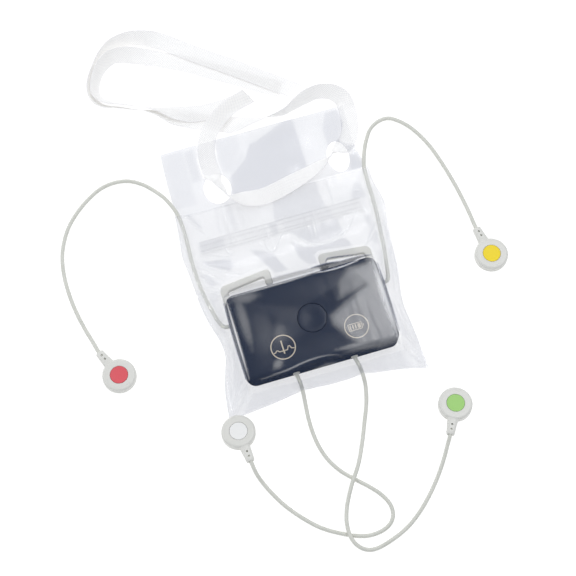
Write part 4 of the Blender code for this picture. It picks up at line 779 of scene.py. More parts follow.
def smooth_curve(points, spacing, smooth_parts=3):
    """Points about one spacing apart on the ground on a smooth curve through the given ones, ends included.

    What a point holds after its first smooth_parts numbers changes in a straight line between points.
    """
    rows = [Vector(p) for p in points]
    rows = [rows[0] * 2 - rows[1], *rows, rows[-1] * 2 - rows[-2]]
    found = []
    for a, b, c, d in zip(rows, rows[1:], rows[2:], rows[3:]):
        steps = max(1, round((c - b).xy.length / spacing))
        for i in range(steps):
            t = i / steps
            bend, twist = 2 * a - 5 * b + 4 * c - d, 3 * b - a - 3 * c + d
            point = 0.5 * (2 * b + (c - a) * t + bend * t**2 + twist * t**3)
            for part in range(smooth_parts, len(point)):
                point[part] = b[part] + (c[part] - b[part]) * t
            found.append(point)
    return [*found, rows[-2]]


def smooth_step(t):
    """An eased step from 0 to 1."""
    t = min(max(t, 0), 1)
    return t * t * (3 - 2 * t)


def hidden_parts():
    """Gives the nodes inside the casing their own materials."""
    finishes = [
        (["seal_gasket"], moulded_plastic("silicone_black_moulded", "222429", "2C2E33", 0.75)),
        (["main_board"], moulded_plastic("solder_mask_green_coated", "24503A", "2F6348", 0.35)),
        (
            ["analogue_chip", "processor_chip", "memory_chip", "radio_module"],
            moulded_plastic("epoxy_black_moulded", "1D1F22", "282A2E", 0.5),
        ),
        (["battery_cell"], metal("battery_foil_laminated", "B4B8BD", "C6C9CD", 0.35)),
        (["battery_pad"], moulded_plastic("foam_grey_foamed", "35373B", "45474B", 0.95)),
        (["tact_switch"], moulded_plastic("nylon_grey_moulded", "35383E", "3F4248", 0.6)),
        (["switch_plunger"], moulded_plastic("nylon_natural_moulded", "DEDED8", "EAEAE5", 0.5)),
        (["status_led_left", "status_led_right"], clear_plastic("epoxy_clear_cast", "DDEBDD", 0.6)),
        (["light_guide_left", "light_guide_right"], clear_plastic("acrylic_clear_moulded", "E6F0F4", 0.4)),
        (["dock_contact_left", "dock_contact_right"], metal("gold_plated_pin", "D2AC4E", "E3C06A", 0.2)),
        (
            [f"cover_screw_{i}" for i in range(1, 5)],
            metal("zinc_plated_steel_rolled", "AFB2B6", "C4C6C9", 0.3),
        ),
        (
            [f"screw_insert_{i}" for i in range(1, 5)],
            metal("brass_turned", "B8913F", "CDA856", 0.3, (1, 1, 6)),
        ),
    ]
    for names, finish in finishes:
        for name in names:
            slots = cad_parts[name].data.materials
            slots.clear()
            slots.append(finish)


# Camera, table and light


def aimed(name, data, place):
    """A camera or a light that faces the middle of the object."""
    obj = add_object(name, data)
    obj.location = place
    obj.rotation_euler = (CAMERA_TARGET - Vector(place)).to_track_quat("-Z", "Y").to_euler()
    return obj


def set_stage():
    """The camera, the backlit table, the room's light and the softboxes."""
    scene = bpy.context.scene
    scene.view_settings.view_transform = "Standard"
    camera = bpy.data.cameras.new("camera")
    camera.lens = CAMERA_LENS
    camera.clip_start = CAMERA_CLIP
    scene.camera = aimed("camera", camera, CAMERA_PLACE)

    bm = bmesh.new()
    bmesh.ops.create_grid(bm, x_segments=1, y_segments=1, size=TABLE_REACH)
    bmesh.ops.translate(bm, vec=Vector((0, 0, -TABLE_DROP)), verts=bm.verts)
    made = new_material("opal_acrylic_backlit", 0.9)[0]
    inputs = {
        "Base Color": linear("A2A2A2"),
        "Specular IOR Level": 0.0,
        "Emission Color": linear("FFFFFF"),
        "Emission Strength": 0.82,
    }
    set_shader(made, inputs)
    floor = add_piece("table", plain_mesh("table", bm), made, None)

    world = bpy.data.worlds.new("studio")
    scene.world = world
    world.use_nodes = True
    sky = {"Color": linear("F2F5FB"), "Strength": 0.6}
    set_inputs(world.node_tree, world.node_tree.nodes["Background"], sky)

    for name, (place, size, power) in SOFTBOXES.items():
        light = bpy.data.lights.new(name, "AREA")
        light.shape = "RECTANGLE"
        light.size, light.size_y = size
        light.energy = power
        aimed(name, light, place)


# Leads


def lead_exit(name):
    """Where a lead crosses the casing's outside, and the direction it leaves in."""
    if name in ("red", "yellow"):
        side = -1 if name == "red" else 1
        return Vector((side * CASE_HIGH.x, LEAD_SIDE_Y, LEAD_EXIT_Z)), Vector((side, 0, 0))
    side = -1 if name == "white" else 1
    return Vector((side * LEAD_BOTTOM_X, CASE_LOW.y, LEAD_EXIT_Z)), Vector((0, -1, 0))


def exit_frame(name):
    """The frame of a lead's exit: its place, with Z along the way out."""
    place, direction = lead_exit(name)
    return Matrix.Translation(place) @ direction.to_track_quat("Z", "Y").to_matrix().to_4x4()


def clip_frame(name):
    """The clip's own frame in the world: its foot's middle at the origin, its tail along +X."""
    spot = CLIPS[name]
    axis = Vector((-sin(CLIP_LEAN_HEADING), cos(CLIP_LEAN_HEADING), 0))
    angle = radians(spot["lean"])
    place = Matrix.Translation((*spot["place"], CLIP_RADIUS * sin(angle) + TABLE_GAP))
    return place @ Matrix.Rotation(angle, 4, axis) @ Matrix.Rotation(radians(spot["heading"]), 4, "Z")


def lead_points(name):
    """The middle of a lead, from inside the casing to inside its clip's tail."""
    place, direction = lead_exit(name)
    spot = clip_frame(name)
    depths = (0, TAIL_BORE_DEPTH - FIT_GAP)
    ends = [spot @ Vector((TAIL_REACH - depth, 0, TAIL_MIDDLE)) for depth in depths]
    start = [place - direction * (CASE_WALL + LEAD_TAIL_INSIDE), place]
    route = [[value * MM for value in point] for point in ROUTES[name]]
    return smooth_curve([*start, *route, *ends], LEAD_STEP)


def lead(name, finish):
    """One lead wire; gives the points of its middle."""
    points = lead_points(name)
    curve, spline = poly_curve(f"lead_wire_{name}", "3D", points, LEAD_DIAMETER / 2)
    curve.use_fill_caps = True
    spline.use_smooth = True
    obj = add_piece(f"lead_wire_{name}", curve, finish)
    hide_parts(f"lead_{name}")
    return points


def sleeve(name, finish):
    """The soft sleeve where a lead leaves the casing: a thin collar outside the wall and a short taper."""
    inner = LEAD_DIAMETER / 2 + FIT_GAP / 2
    stem = LEAD_HOLE - SLEEVE_WALL
    collar = LEAD_HOLE + 0.2 * MM
    profile = [(inner, SLEEVE_REACH), (inner + SLEEVE_WALL, SLEEVE_REACH), (stem, 0.45 * MM)]
    profile += arc((collar - SLEEVE_WALL, 0.25 * MM), SLEEVE_WALL, 90, 0, 4)
    profile += [(collar, TABLE_GAP), (stem, TABLE_GAP), (stem, -CASE_WALL), (inner, -CASE_WALL)]
    mesh = smooth_shading(turned(f"sleeve_{name}", profile, 40))
    mesh.transform(exit_frame(name))
    obj = add_piece(f"lead_sleeve_{name}", mesh, finish)
    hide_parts(f"lead_grommet_{name}")


# Snap clips


def tail_mesh(name):
    """The strain relief: a tapered bar with rounded sides, running out from the middle of the clip."""
    bm = bmesh.new()
    loops = []
    for reach, width, height in TAIL_STATIONS:
        outline = superellipse(width / 2, height / 2, 3.2, 32)
        low = TAIL_LIFT / MM + (TAIL_TIP_HEIGHT / MM - height) * 0.2
        loops.append([bm.verts.new((reach * MM, y * MM, (z + low + height / 2) * MM)) for y, z in outline])
    for first, second in zip(loops, loops[1:]):
        for i in range(len(first)):
            j = (i + 1) % len(first)
            bm.faces.new((first[i], first[j], second[j], second[i]))
    bm.faces.new(loops[0])
    bm.faces.new(loops[-1])
    return mesh_from(name, bm)


def superellipse(a, b, power, steps):
    """Points of a rounded rectangle with half sizes a and b, squarer the higher its power."""
    found = []
    for i in range(steps):
        angle = 2 * pi * i / steps
        c, s = cos(angle), sin(angle)
        scale = (abs(c) ** power + abs(s) ** power) ** (-1 / power)
        found.append((a * c * scale, b * s * scale))
    return found


def clip_housing(name):
    """The housing: a round body with a groove round it, a recess on each face, and the strain relief."""
    top = CLIP_HEIGHT
    recess = DISC_THICKNESS + FIT_GAP
    rim = DISC_RADIUS + 0.12 * MM
    groove = CLIP_RADIUS - CLIP_LIP
    profile = [(0, top - recess), (rim, top - recess), (rim, top - CLIP_LIP)]
    profile += arc((rim + CLIP_LIP, top - CLIP_LIP), CLIP_LIP, 180, 90, 3)
    profile += arc((CLIP_RADIUS - CLIP_ROUND, top - CLIP_ROUND), CLIP_ROUND, 90, 0, 8)
    profile += [(CLIP_RADIUS, 1.5 * MM), (groove, 1.3 * MM), (groove, 1.1 * MM), (CLIP_RADIUS, 0.9 * MM)]
    profile += arc((CLIP_RADIUS - 0.6 * MM, 0.6 * MM), 0.6 * MM, 0, -90, 4)
    room = SOCKET_RADIUS + FIT_GAP
    profile += [(room, 0), (room, SOCKET_HEIGHT + FIT_GAP), (0, SOCKET_HEIGHT + FIT_GAP)]
    body = turned(f"clip_body_{name}", profile, 96)
    bore = cylinder("bore", LEAD_DIAMETER / 2 + 0.1 * MM, -TAIL_BORE_DEPTH, MM, sides=32)
    turn_out = Matrix.Rotation(radians(90), 4, "Y")
    bore.transform(Matrix.Translation((TAIL_REACH, 0, TAIL_MIDDLE)) @ turn_out)
    steps = [(JOIN, tail_mesh(f"clip_tail_{name}")), (CUT, bore)]
    for reach in TAIL_NOTCHES:
        steps.append((CUT, cylinder("dimple", 0.62 * MM, 3.6 * MM, 6 * MM, (reach * MM, 0), 20)))
        for side in (-1, 1):
            notch = cylinder("notch", 0.5 * MM, -2 * MM, 2 * MM, sides=16)
            notch.transform(Matrix.Translation((reach * MM, side * 2.95 * MM, 2.5 * MM)))
            steps.append((CUT, notch))
    mark_low, mark_high = (Vector(corner) * MM for corner in CLIP_MARK)
    steps.append((CUT, rounded_box("mark", mark_low, mark_high, 0.3 * MM, segments=3)))
    return smooth_shading(combined(f"clip_shell_piece_{name}", body, steps, 0.22 * MM, 40), 50)


def clip_cap(name):
    """The coloured disc: slightly dished inside a flat rim."""
    top, edge = CLIP_HEIGHT, 0.22 * MM
    cap = [(0, top - 0.16 * MM), (DISC_RADIUS * 0.5, top - 0.13 * MM)]
    cap += [(DISC_RADIUS - 0.9 * MM, top - 0.05 * MM), (DISC_RADIUS - 0.7 * MM, top)]
    cap += arc((DISC_RADIUS - edge, top - edge), edge, 90, 0, 4)
    cap += [(DISC_RADIUS, top - DISC_THICKNESS), (0, top - DISC_THICKNESS)]
    return smooth_shading(turned(f"clip_cap_{name}", cap, 72))


def clip_socket(name):
    """The pressed metal socket for the electrode's stud: a shell with a rolled mouth."""
    mouth, lip, wall = 2.1 * MM, 0.6 * MM, 0.8 * MM
    cavity = SOCKET_RADIUS - wall
    ring = [(0, SOCKET_HEIGHT)]
    ring += arc((SOCKET_RADIUS - 0.5 * MM, SOCKET_HEIGHT - 0.5 * MM), 0.5 * MM, 90, 0, 4)
    ring += arc((SOCKET_RADIUS - 0.25 * MM, 0.25 * MM), 0.25 * MM, 0, -90, 3)
    ring += [(mouth + lip / 2, 0)]
    ring += arc((mouth + lip / 2, lip / 2), lip / 2, 270, 90, 5)
    ring += [(cavity, lip), (cavity, SOCKET_HEIGHT - wall), (0, SOCKET_HEIGHT - wall)]
    return smooth_shading(turned(f"socket_{name}", ring, 48))


def clip(name, shell_finish, disc_finish, socket_finish):
    """One snap clip: its housing, its coloured disc and its socket."""
    meshes = [clip_housing(name), clip_cap(name), clip_socket(name)]
    for mesh in meshes:
        mesh.transform(clip_frame(name))
    shell = add_piece(f"clip_housing_{name}", meshes[0], shell_finish)
    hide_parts(f"clip_shell_{name}")
    dot = add_piece(f"clip_colour_disc_{name}", meshes[1], disc_finish)
    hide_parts(f"clip_disc_{name}")
    socket = add_piece(f"clip_snap_socket_{name}", meshes[2], socket_finish)
    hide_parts(f"snap_socket_{name}")
    return [shell, dot, socket]


# Recorder


def front_cover(finish):
    """The dark cover: its wall along the lower side reaches down over the rear cover."""
    low, high = CASE_LOW, CASE_HIGH
    body = rounded_box("cover", Vector((low.x, low.y, LOWER_WALL_FOOT)), high, CASE_CORNER, CASE_EDGE)
    inset = Vector((CASE_WALL, CASE_WALL, 0))
    inner_low = low + inset - Vector((0, 0, 3 * MM))
    inner_high = high - inset - Vector((0, 0, CASE_FACE))
    steps = [(CUT, rounded_box("inside", inner_low, inner_high, CASE_CORNER - CASE_WALL, 1.4 * MM, 0, 5))]
    under_low = Vector((low.x - MM, low.y + LOWER_WALL_RETURN, LOWER_WALL_FOOT - MM))
    under_high = Vector((high.x + MM, high.y + MM, low.z))
    steps.append((CUT, rounded_box("under", under_low, under_high, 0.3 * MM, segments=2)))
    hole = BUTTON_HIGH.x - BUTTON_FLANGE + BUTTON_GAP
    steps.append((CUT, cylinder("button_hole", hole, inner_high.z - MM, high.z + MM, sides=96)))
    for spot in SCREWS:
        steps.append((JOIN, cylinder("boss", BOSS_RADIUS, 8.9 * MM, inner_high.z + MM / 2, spot, 24)))
        steps.append((CUT, cylinder("bore", 2.2 * MM, 8 * MM, 12 * MM, spot, 24)))
    for name in CLIPS:
        hole = cylinder("lead_hole", LEAD_HOLE, -CASE_WALL - MM, MM, sides=32)
        hole.transform(exit_frame(name))
        steps.append((CUT, hole))
    mesh = combined("front_cover_shell", body, steps, 0.18 * MM, 50)
    obj = add_piece("recorder_front_cover", smooth_shading(mesh, 30), finish)
    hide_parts("front_cover")


def hook_outline(side):
    """One strap hook: up from the casing's side, along its rising bar, and down again at the tip."""
    out_x, edge_y = REAR_HIGH.x, CASE_HIGH.y + REAR_TOP_LEDGE
    bar_low = edge_y + HOOK_SLOT
    bar_high = bar_low + HOOK_BAR
    inner_x = out_x - HOOK_BAR
    tip_out = HOOK_INNER_X + HOOK_BAR
    tip_turn = edge_y + HOOK_TIP_GAP + HOOK_FOOT_ROUND
    outline = [(inner_x, edge_y - REAR_CORNER), (out_x, edge_y - REAR_CORNER)]
    top, foot, tip = HOOK_TOP_ROUND, HOOK_FOOT_ROUND, HOOK_TIP_ROUND
    turns = [
        (out_x - HOOK_CORNER, bar_high - HOOK_CORNER, HOOK_CORNER, 0, HOOK_SLOPE),
        (HOOK_INNER_X + top, bar_high + HOOK_RISE - top, top, HOOK_SLOPE, 180),
        (HOOK_INNER_X + foot, tip_turn, foot, 180, 270),
        (tip_out - foot, tip_turn, foot, 270, 360),
        (tip_out + tip, bar_low + HOOK_RISE - tip, tip, 180, HOOK_SLOPE),
        (inner_x - tip, bar_low - tip, tip, HOOK_SLOPE, 0),
    ]
    for x, y, radius, start, end in turns:
        outline += arc((x, y), radius, start, end)
    return [(side * x, y) for x, y in outline]


def rear_cover(finish):
    """The light cover: a tray with two hooks, cut to its floor where the front cover's lower wall passes."""
    low = Vector((REAR_LOW.x - REAR_LEDGE, CASE_LOW.y + 0.5 * MM, REAR_LOW.z))
    high = Vector((REAR_HIGH.x + REAR_LEDGE, CASE_HIGH.y + REAR_TOP_LEDGE, REAR_RIM_TOP))
    body = rounded_box("tray", low, high, REAR_CORNER, 0, 0.9 * MM)
    bottom = low.z + HOOK_LIFT
    top = bottom + HOOK_HEIGHT
    steps = [(JOIN, plate("hook", hook_outline(side), bottom, top, HOOK_EASE)) for side in (-1, 1)]
    inset = Vector((REAR_RIM, REAR_RIM, 0))
    inner_low = low + inset + Vector((0, 0, REAR_FLOOR))
    inner_high = high - inset + Vector((0, 0, MM))
    steps.append((CUT, rounded_box("inside", inner_low, inner_high, REAR_CORNER - REAR_RIM, 0, 0, 6)))
    room_low = Vector((low.x, low.y, high.z))
    room_high = Vector((high.x, high.y, high.z + 5 * MM))
    steps.append((CUT, rounded_box("front_room", room_low, room_high, REAR_CORNER)))
    wall_low = Vector((low.x - MM, low.y - MM, LOWER_WALL_FOOT - 0.2 * MM))
    wall_high = Vector((high.x + MM, CASE_LOW.y + LOWER_WALL_RETURN + 0.2 * MM, high.z + MM))
    steps.append((CUT, rounded_box("lower_room", wall_low, wall_high, 0.3 * MM, segments=2)))
    for spot in SCREWS:
        steps.append((JOIN, cylinder("boss", BOSS_RADIUS, low.z + 0.1 * MM, BOSS_TOP, spot, 24)))
        steps.append((CUT, cylinder("bore", SCREW_BORE, low.z - MM, BOSS_TOP + MM, spot, 24)))
        steps.append((CUT, cylinder("sink", SCREW_SINK, low.z - MM, low.z + 1.3 * MM, spot, 32)))
    for x in (-DOCK_PIN_X, DOCK_PIN_X):
        steps.append((CUT, cylinder("dock_hole", DOCK_BORE, low.z - MM, 3 * MM, (x, DOCK_PIN_Y), 32)))
    mesh = combined("rear_cover_shell", body, steps)
    obj = add_piece("recorder_rear_cover", smooth_shading(mesh, 35), finish)
    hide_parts("rear_cover")


def button(finish):
    """The event button: a plain dished disc with a rounded edge and a flange under the cover's face."""
    low, high = BUTTON_LOW, BUTTON_HIGH
    flange = high.x
    radius = flange - BUTTON_FLANGE
    ceiling = low.z + 0.7 * MM
    top = high.z
    profile = [(0, top - BUTTON_DISH)]
    for share in (0.2, 0.35, 0.5, 0.62, 0.74, 0.84):
        profile.append((radius * share, top - BUTTON_DISH * (1 - smooth_step(share / 0.84))))
    profile += arc((radius - 0.4 * MM, top - 0.4 * MM), 0.4 * MM, 90, 0, 5)
    profile += [(radius, ceiling), (flange, ceiling), (flange, low.z), (0, low.z)]
    mesh = smooth_shading(turned("button", profile, 96), 30)
    obj = add_piece("recorder_event_button", mesh, finish, "event_button")
    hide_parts("event_button")


def ink_line(bm, points, width, closed=False):
    """Adds a printed line of one width with mitred corners; the points and the width are in millimetres."""
    count = len(points)
    loops = []
    for i, point in enumerate(points):
        here = Vector(point)
        before = Vector(points[i - 1]) if closed or i else here
        after = Vector(points[(i + 1) % count]) if closed or i < count - 1 else here
        inward = (here - before).normalized() if before != here else (after - here).normalized()
        outward = (after - here).normalized() if after != here else inward
        middle = (inward + outward).normalized()
        across = Vector((-middle.y, middle.x))
        reach = width / 2 / max(0.5, across.dot(Vector((-outward.y, outward.x))))
        low = CASE_HIGH.z + ICON_LIFT
        sides = [(here + across * reach) * MM, (here - across * reach) * MM]
        corners = [(*sides[0], low), (*sides[1], low)]
        corners += [(*sides[1], low + ICON_THICKNESS), (*sides[0], low + ICON_THICKNESS)]
        loops.append([bm.verts.new(corner) for corner in corners])
    for first, second in zip(loops, loops[1:] + loops[:1] if closed else loops[1:]):
        for i in range(4):
            bm.faces.new((first[i], first[(i + 1) % 4], second[(i + 1) % 4], second[i]))
    if not closed:
        bm.faces.new(loops[0])
        bm.faces.new(loops[-1])


def ring_points(x, y, radius):
    """Points of a full circle."""
    return [(x + radius * cos(pi * i / 48), y + radius * sin(pi * i / 48)) for i in range(96)]


def icons(finish):
    """Two line icons printed on the face: a heart trace and a battery, each in a ring."""
    case = []
    for turn, corner in enumerate(BATTERY_CORNERS):
        case += arc(corner, 0.5, 90 * turn, 90 * turn + 90, 4)
    bars = [([(x + 0.2, -12.6), (x - 0.15, -11.4), (x + 0.2, -10.2)], width) for x, width in BATTERY_BARS]
    runs = {
        "icon_heart_trace": (-19.8, -11.3, 6.6, HEART_TRACE),
        "icon_battery": (21.6, -11.3, 6.5, [(case, 0.45, True), *bars, BATTERY_POLE]),
    }
    for name, (x, y, radius, lines) in runs.items():
        bm = bmesh.new()
        for line in [(ring_points(x, y, radius), 0.6, True), *lines]:
            ink_line(bm, *line)
        obj = add_piece(name, mesh_from(name, bm), finish)


# Pouch


def ramp(t):
    """Eased steps from 0 to 1 for an array."""
    t = np.clip(t, 0, 1)
    return t * t * (3 - 2 * t)


def spline_at(table, t):
    """Values at t on a smooth line through a table of (place, value) pairs."""
    places, values = np.array(table, dtype=float).T
    slopes = np.gradient(values, places)
    i = np.clip(np.searchsorted(places, t) - 1, 0, len(places) - 2)
    gap = places[i + 1] - places[i]
    s = np.clip((t - places[i]) / gap, 0, 1)
    ends = values[i] * (1 + 2 * s) * (1 - s) ** 2 + values[i + 1] * s * s * (3 - 2 * s)
    return ends + gap * s * (1 - s) * (slopes[i] * (1 - s) - slopes[i + 1] * s)


def back_rise(y):
    """How far the back film's underside lies above the table: the header rises over the strap behind it."""
    return 0.05 + 1.2 * ramp((y - 66.6) / 14.9) + 1.05 * ramp((y - 91) / 28)


def edge_distance(x, y):
    """How far a spot lies inside the pouch's welded edges."""
    side = np.minimum(x - spline_at(LEFT_SIDE, y), spline_at(RIGHT_SIDE, y) - x)
    return np.maximum(np.minimum(side, y - spline_at(LOWER_WELD, x)), 0)


def segment_distance(x, y, start, end):
    """How far spots lie from a straight run and how far along it, from 0 to 1."""
    run_x, run_y = end[0] - start[0], end[1] - start[1]
    share = np.clip(((x - start[0]) * run_x + (y - start[1]) * run_y) / (run_x**2 + run_y**2), 0, 1)
    return np.hypot(x - start[0] - share * run_x, y - start[1] - share * run_y), share


def crease(x, y, points, width):
    """1 on a line through the points, falling off over its half width and towards its ends."""
    line = smooth_curve([Vector(p) for p in points], 2.0)
    best = np.full(x.shape, 99.0)
    along = np.zeros(x.shape)
    count = len(line) - 1
    for i, (start, end) in enumerate(zip(line, line[1:])):
        away, share = segment_distance(x, y, start, end)
        along = np.where(away < best, (i + share) / count, along)
        best = np.minimum(best, away)
    taper = np.sin(pi * np.clip(along, 0.06, 0.94)) ** 0.5
    return np.exp(-((best / (width * (0.4 + 0.6 * taper))) ** 2)) * taper


def creases(x, y, table):
    """The strongest of the creases at each spot, and their sum as a height."""
    strong, lift = np.zeros(x.shape), np.zeros(x.shape)
    for points, width, strength in table:
        spots = np.array(points)
        near = (x > spots[:, 0].min() - 5) & (x < spots[:, 0].max() + 5)
        near &= (y > spots[:, 1].min() - 5) & (y < spots[:, 1].max() + 5)
        here = crease(x[near], y[near], points, width)
        strong[near] = np.maximum(strong[near], strength * here)
        lift[near] += 0.45 * min(width, 1) * strength * here
    return strong, lift


def inside_share(x, y, outline, soft):
    """1 inside a closed outline and 0 outside, eased over a soft edge."""
    away = np.full(x.shape, 99.0)
    inside = np.zeros(x.shape, dtype=bool)
    for (x0, y0), (x1, y1) in zip(outline, outline[1:] + outline[:1]):
        away = np.minimum(away, segment_distance(x, y, (x0, y0), (x1, y1))[0])
        if y0 != y1:
            inside ^= ((y0 > y) != (y1 > y)) & (x < (x1 - x0) * (y - y0) / (y1 - y0) + x0)
    return ramp(0.5 + np.where(inside, away, -away) / soft)


def clearness(x, y, table, soft):
    """The largest share that any outline of a table has at each spot."""
    found = np.zeros(x.shape)
    for outline, strength in table:
        found = np.maximum(found, strength * inside_share(x, y, outline, soft))
    return found


def clouds(x, y, size, height):
    """Smooth noise between -1 and 1 at each spot."""
    spots = zip(x.ravel() / size[0], y.ravel() / size[1])
    return np.array([noise.noise(Vector((a, b, height))) for a, b in spots]).reshape(x.shape)


def casing_top(x, y):
    """The height of the recorder's own surface, or -1 beside it."""
    corner, edge = CASE_CORNER / MM, CASE_EDGE / MM
    dx, dy = abs(x) - CASE_HIGH.x / MM, abs(y) - CASE_HIGH.y / MM
    out = np.hypot(np.maximum(dx + corner, 0), np.maximum(dy + corner, 0)) - corner
    out = np.where((dx > -corner) & (dy > -corner), out, np.maximum(dx, dy))
    into = np.clip(edge + out, 0, edge)
    return np.where(out > 0, -1, CASE_HIGH.z / MM - edge + np.sqrt(edge**2 - into**2))


def smooth_max(a, b, reach):
    """The larger of two heights, blended over a reach where they are close."""
    return np.maximum(a, b) + np.maximum(reach - abs(a - b), 0) ** 2 / (4 * reach)


def front_height(x, y, wires):
    """The height of the front film's underside, laid over the casing, the hooks, the zip and the wires."""
    base = back_rise(y) + FILM + FILM_ROOM
    weld = edge_distance(x, y)
    top = CASE_HIGH.z / MM - 0.3
    dx = np.maximum(abs(x) - CASE_HIGH.x / MM + 1.2, 0)
    dy = np.maximum(abs(y) - CASE_HIGH.y / MM + 1.2, 0)
    apart = np.hypot(dx, dy)
    edge = np.where(y > 0, np.minimum(weld, np.maximum(57 - y, 0)), weld)
    height = base + (top - base) * (1 - apart / (apart + edge + NEARLY_NONE)) ** 1.55
    casing = casing_top(x, y)
    over = casing > 0
    height = np.where(over, smooth_max(height, casing + 0.18, 0.5), height)
    zip_apart = np.hypot(np.maximum(abs(x) - ZIP_SIDE, 0), np.maximum(abs(y - ZIP_MIDDLE) - ZIP_HALF, 0))
    zip_slack = np.maximum(1 - zip_apart / (zip_apart + weld + NEARLY_NONE), 0) ** 1.4
    height = smooth_max(height, base + (ZIP_TOP - base) * zip_slack, 0.5)
    free = ramp(weld / 4) * np.where(over, 0, ramp(apart / 4))
    ripple = 0.25 * (clouds(x, y, (7, 16), 2.0) + 0.4)
    height += (creases(x, y, CREASES)[1] + ripple) * free
    for wire in wires:
        spots = [p / MM for p in wire if -45 * MM < p.y < 88 * MM and abs(p.x) < 60 * MM][2::4]
        for start, end in zip(spots, spots[1:]):
            near = (abs(x - start.x) < 6) & (abs(y - start.y) < 8)
            away, share = segment_distance(x[near], y[near], start, end)
            level = start.z + (end.z - start.z) * share + LEAD_DIAMETER / MM / 2 + 0.15
            height[near] = smooth_max(height[near], level - np.maximum(away - 0.9, 0) * 1.05, 0.4)
    return np.maximum(height, base)


def film_spots(step, high_line):
    """The grid of a film: straight lines over the recorder, fitted to the pouch's outline beyond it."""
    inner_x = np.arange(-GRID_SIDE, GRID_SIDE + step / 2, step)
    inner_y = np.arange(GRID_LOW, GRID_HIGH, step)
    edge = np.linspace(0, 1, round(9 / step))
    out = GRID_SIDE + GRID_RIM
    nominal = np.concatenate([GRID_RIM * edge[:-1] - out, inner_x, GRID_SIDE + GRID_RIM * edge[1:]])
    low, high = spline_at(LOWER_WELD, nominal), spline_at(high_line, nominal)
    rise = np.linspace(0, 1, round((high.max() - GRID_HIGH) / step))[1:, None]
    below = low + (GRID_LOW - low) * edge[:-1, None]
    above = inner_y[-1] + (high - inner_y[-1]) * rise
    y = np.concatenate([below, inner_y[:, None] + 0 * low, above])
    left, right = spline_at(LEFT_SIDE, y), spline_at(RIGHT_SIDE, y)
    x = nominal + 0 * y
    x = np.where(nominal < -GRID_SIDE, left + (-GRID_SIDE - left) * (nominal + out) / GRID_RIM, x)
    x = np.where(nominal > GRID_SIDE, right + (GRID_SIDE - right) * (out - nominal) / GRID_RIM, x)
    return x, y


def closed_sheet(name, x, y, z):
    """A closed thin film over a grid of spots in millimetres; z is the height of its underside."""
    rows, columns = x.shape
    count = rows * columns
    index = np.arange(count).reshape(rows, columns)
    a, b, c, d = (part.ravel() for part in (index[:-1, :-1], index[:-1, 1:], index[1:, 1:], index[1:, :-1]))
    rim = np.concatenate([index[0, :], index[1:, -1], index[-1, -2::-1], index[-2:0:-1, 0]])
    after = np.roll(rim, -1)
    faces = np.concatenate(
        [
            np.stack([a, d, c, b], 1),
            np.stack([a, b, c, d], 1) + count,
            np.stack([rim, after, after + count, rim + count], 1),
        ]
    )
    under = np.stack([x.ravel(), y.ravel(), z.ravel()], 1)
    upper = under + np.array([0, 0, FILM])
    mesh = bpy.data.meshes.new(name)
    mesh.from_pydata((np.concatenate([under, upper]) * MM).tolist(), [], faces.tolist())
    return mesh


def paint(mesh, look):
    """Gives each point its tone, which carries painted highlights, sheen and shade, and its cover, which
    look(x, y) finds.
    """
    places = np.empty(len(mesh.vertices) * 3)
    mesh.vertices.foreach_get("co", places)
    x, y = places.reshape(-1, 3).T[:2] / MM
    for name, values in zip(("lightness", "cover"), look(x, y)):
        layer = mesh.attributes.new(name, "FLOAT", "POINT")
        layer.data.foreach_set("value", values)


def clinging(x, y):
    """Where a film clings to the ribbon or the hooks."""
    return clearness(x, y, [(outline, 1.0) for outline in CLINGING], 1.0)


def front_look(x, y):
    """The front film's tone and cover, with its painted highlights and shade: loose in the pouch, and tight
    over the recorder.
    """
    over = ramp(0.5 - np.maximum(abs(x) - 43.8, np.maximum(y - 25.2, -29.6 - y)) / 1.2)
    clear = clearness(x, y, FRONT_CLEAR, 1.8)
    # A painted sheen on the loose film, stronger above the recorder and left out in its clear patches.
    whiteness = (0.5 + 0.25 * ramp((y - 26) / 12)) * (1 - clear) * (1 - over)
    # Painted highlights along the loose film's creases.
    loose = creases(x, y, CREASES)[0] * (1 - over)
    weld = 0.8 * (1 - ramp(edge_distance(x, y) / 1.5))
    band = inside_share(x, y, ZIP_BAND, 0.8)
    lightness = np.maximum(np.maximum(whiteness, loose), np.maximum(weld, 0.4 * band))
    cling = clinging(x, y)
    # Clear patches above the recorder hide a little more: a painted darker reflection.
    above = clear * (1 - cling) * (y > 26) * (y < 62)
    cover = 0.1 + 0.03 * above - 0.055 * over + 0.03 * band - 0.045 * cling
    cover += (0.2 - cover) * np.maximum(loose, weld * (cover < 0.2))
    # Painted reflection of the light and painted highlights on the film over the recorder.
    tight = np.maximum(clearness(x, y, TIGHT_PAINTED_REFLECTIONS, 7.0), creases(x, y, TIGHT_PAINTED_HIGHLIGHTS)[0]) * over
    lightness = np.maximum(lightness, 0.9 * ramp(tight / 0.2))
    cover += (HIGHLIGHT_COVER - cover) * tight**1.75
    # A painted highlight along the recorder's upper edge, and painted dark reflection and shade beyond it.
    for outline, grey, hides in EDGE_PAINTED_LIGHT_AND_SHADE:
        here = inside_share(x, y, outline, 1.2) * (1 - tight)
        lightness += (grey - lightness) * here
        cover += (hides - cover) * here
    runs = [([p[:2] for p in ROUTES[name][1:10]], VEIL_REACH, veil) for name, veil in VEILED_LEADS.items()]
    veil = creases(x, y, runs)[0] * (1 - over)
    lightness += (1 - lightness) * ramp(veil / 0.4)
    cover += (VEIL_COVER - cover) * veil
    # Painted dark lines: reflections of the casing's edges, and shade by the right hook.
    dark = creases(x, y, DARK_LINES)[0]
    return lightness - (1 + lightness) * dark, cover + (DARK_COVER - cover) * dark


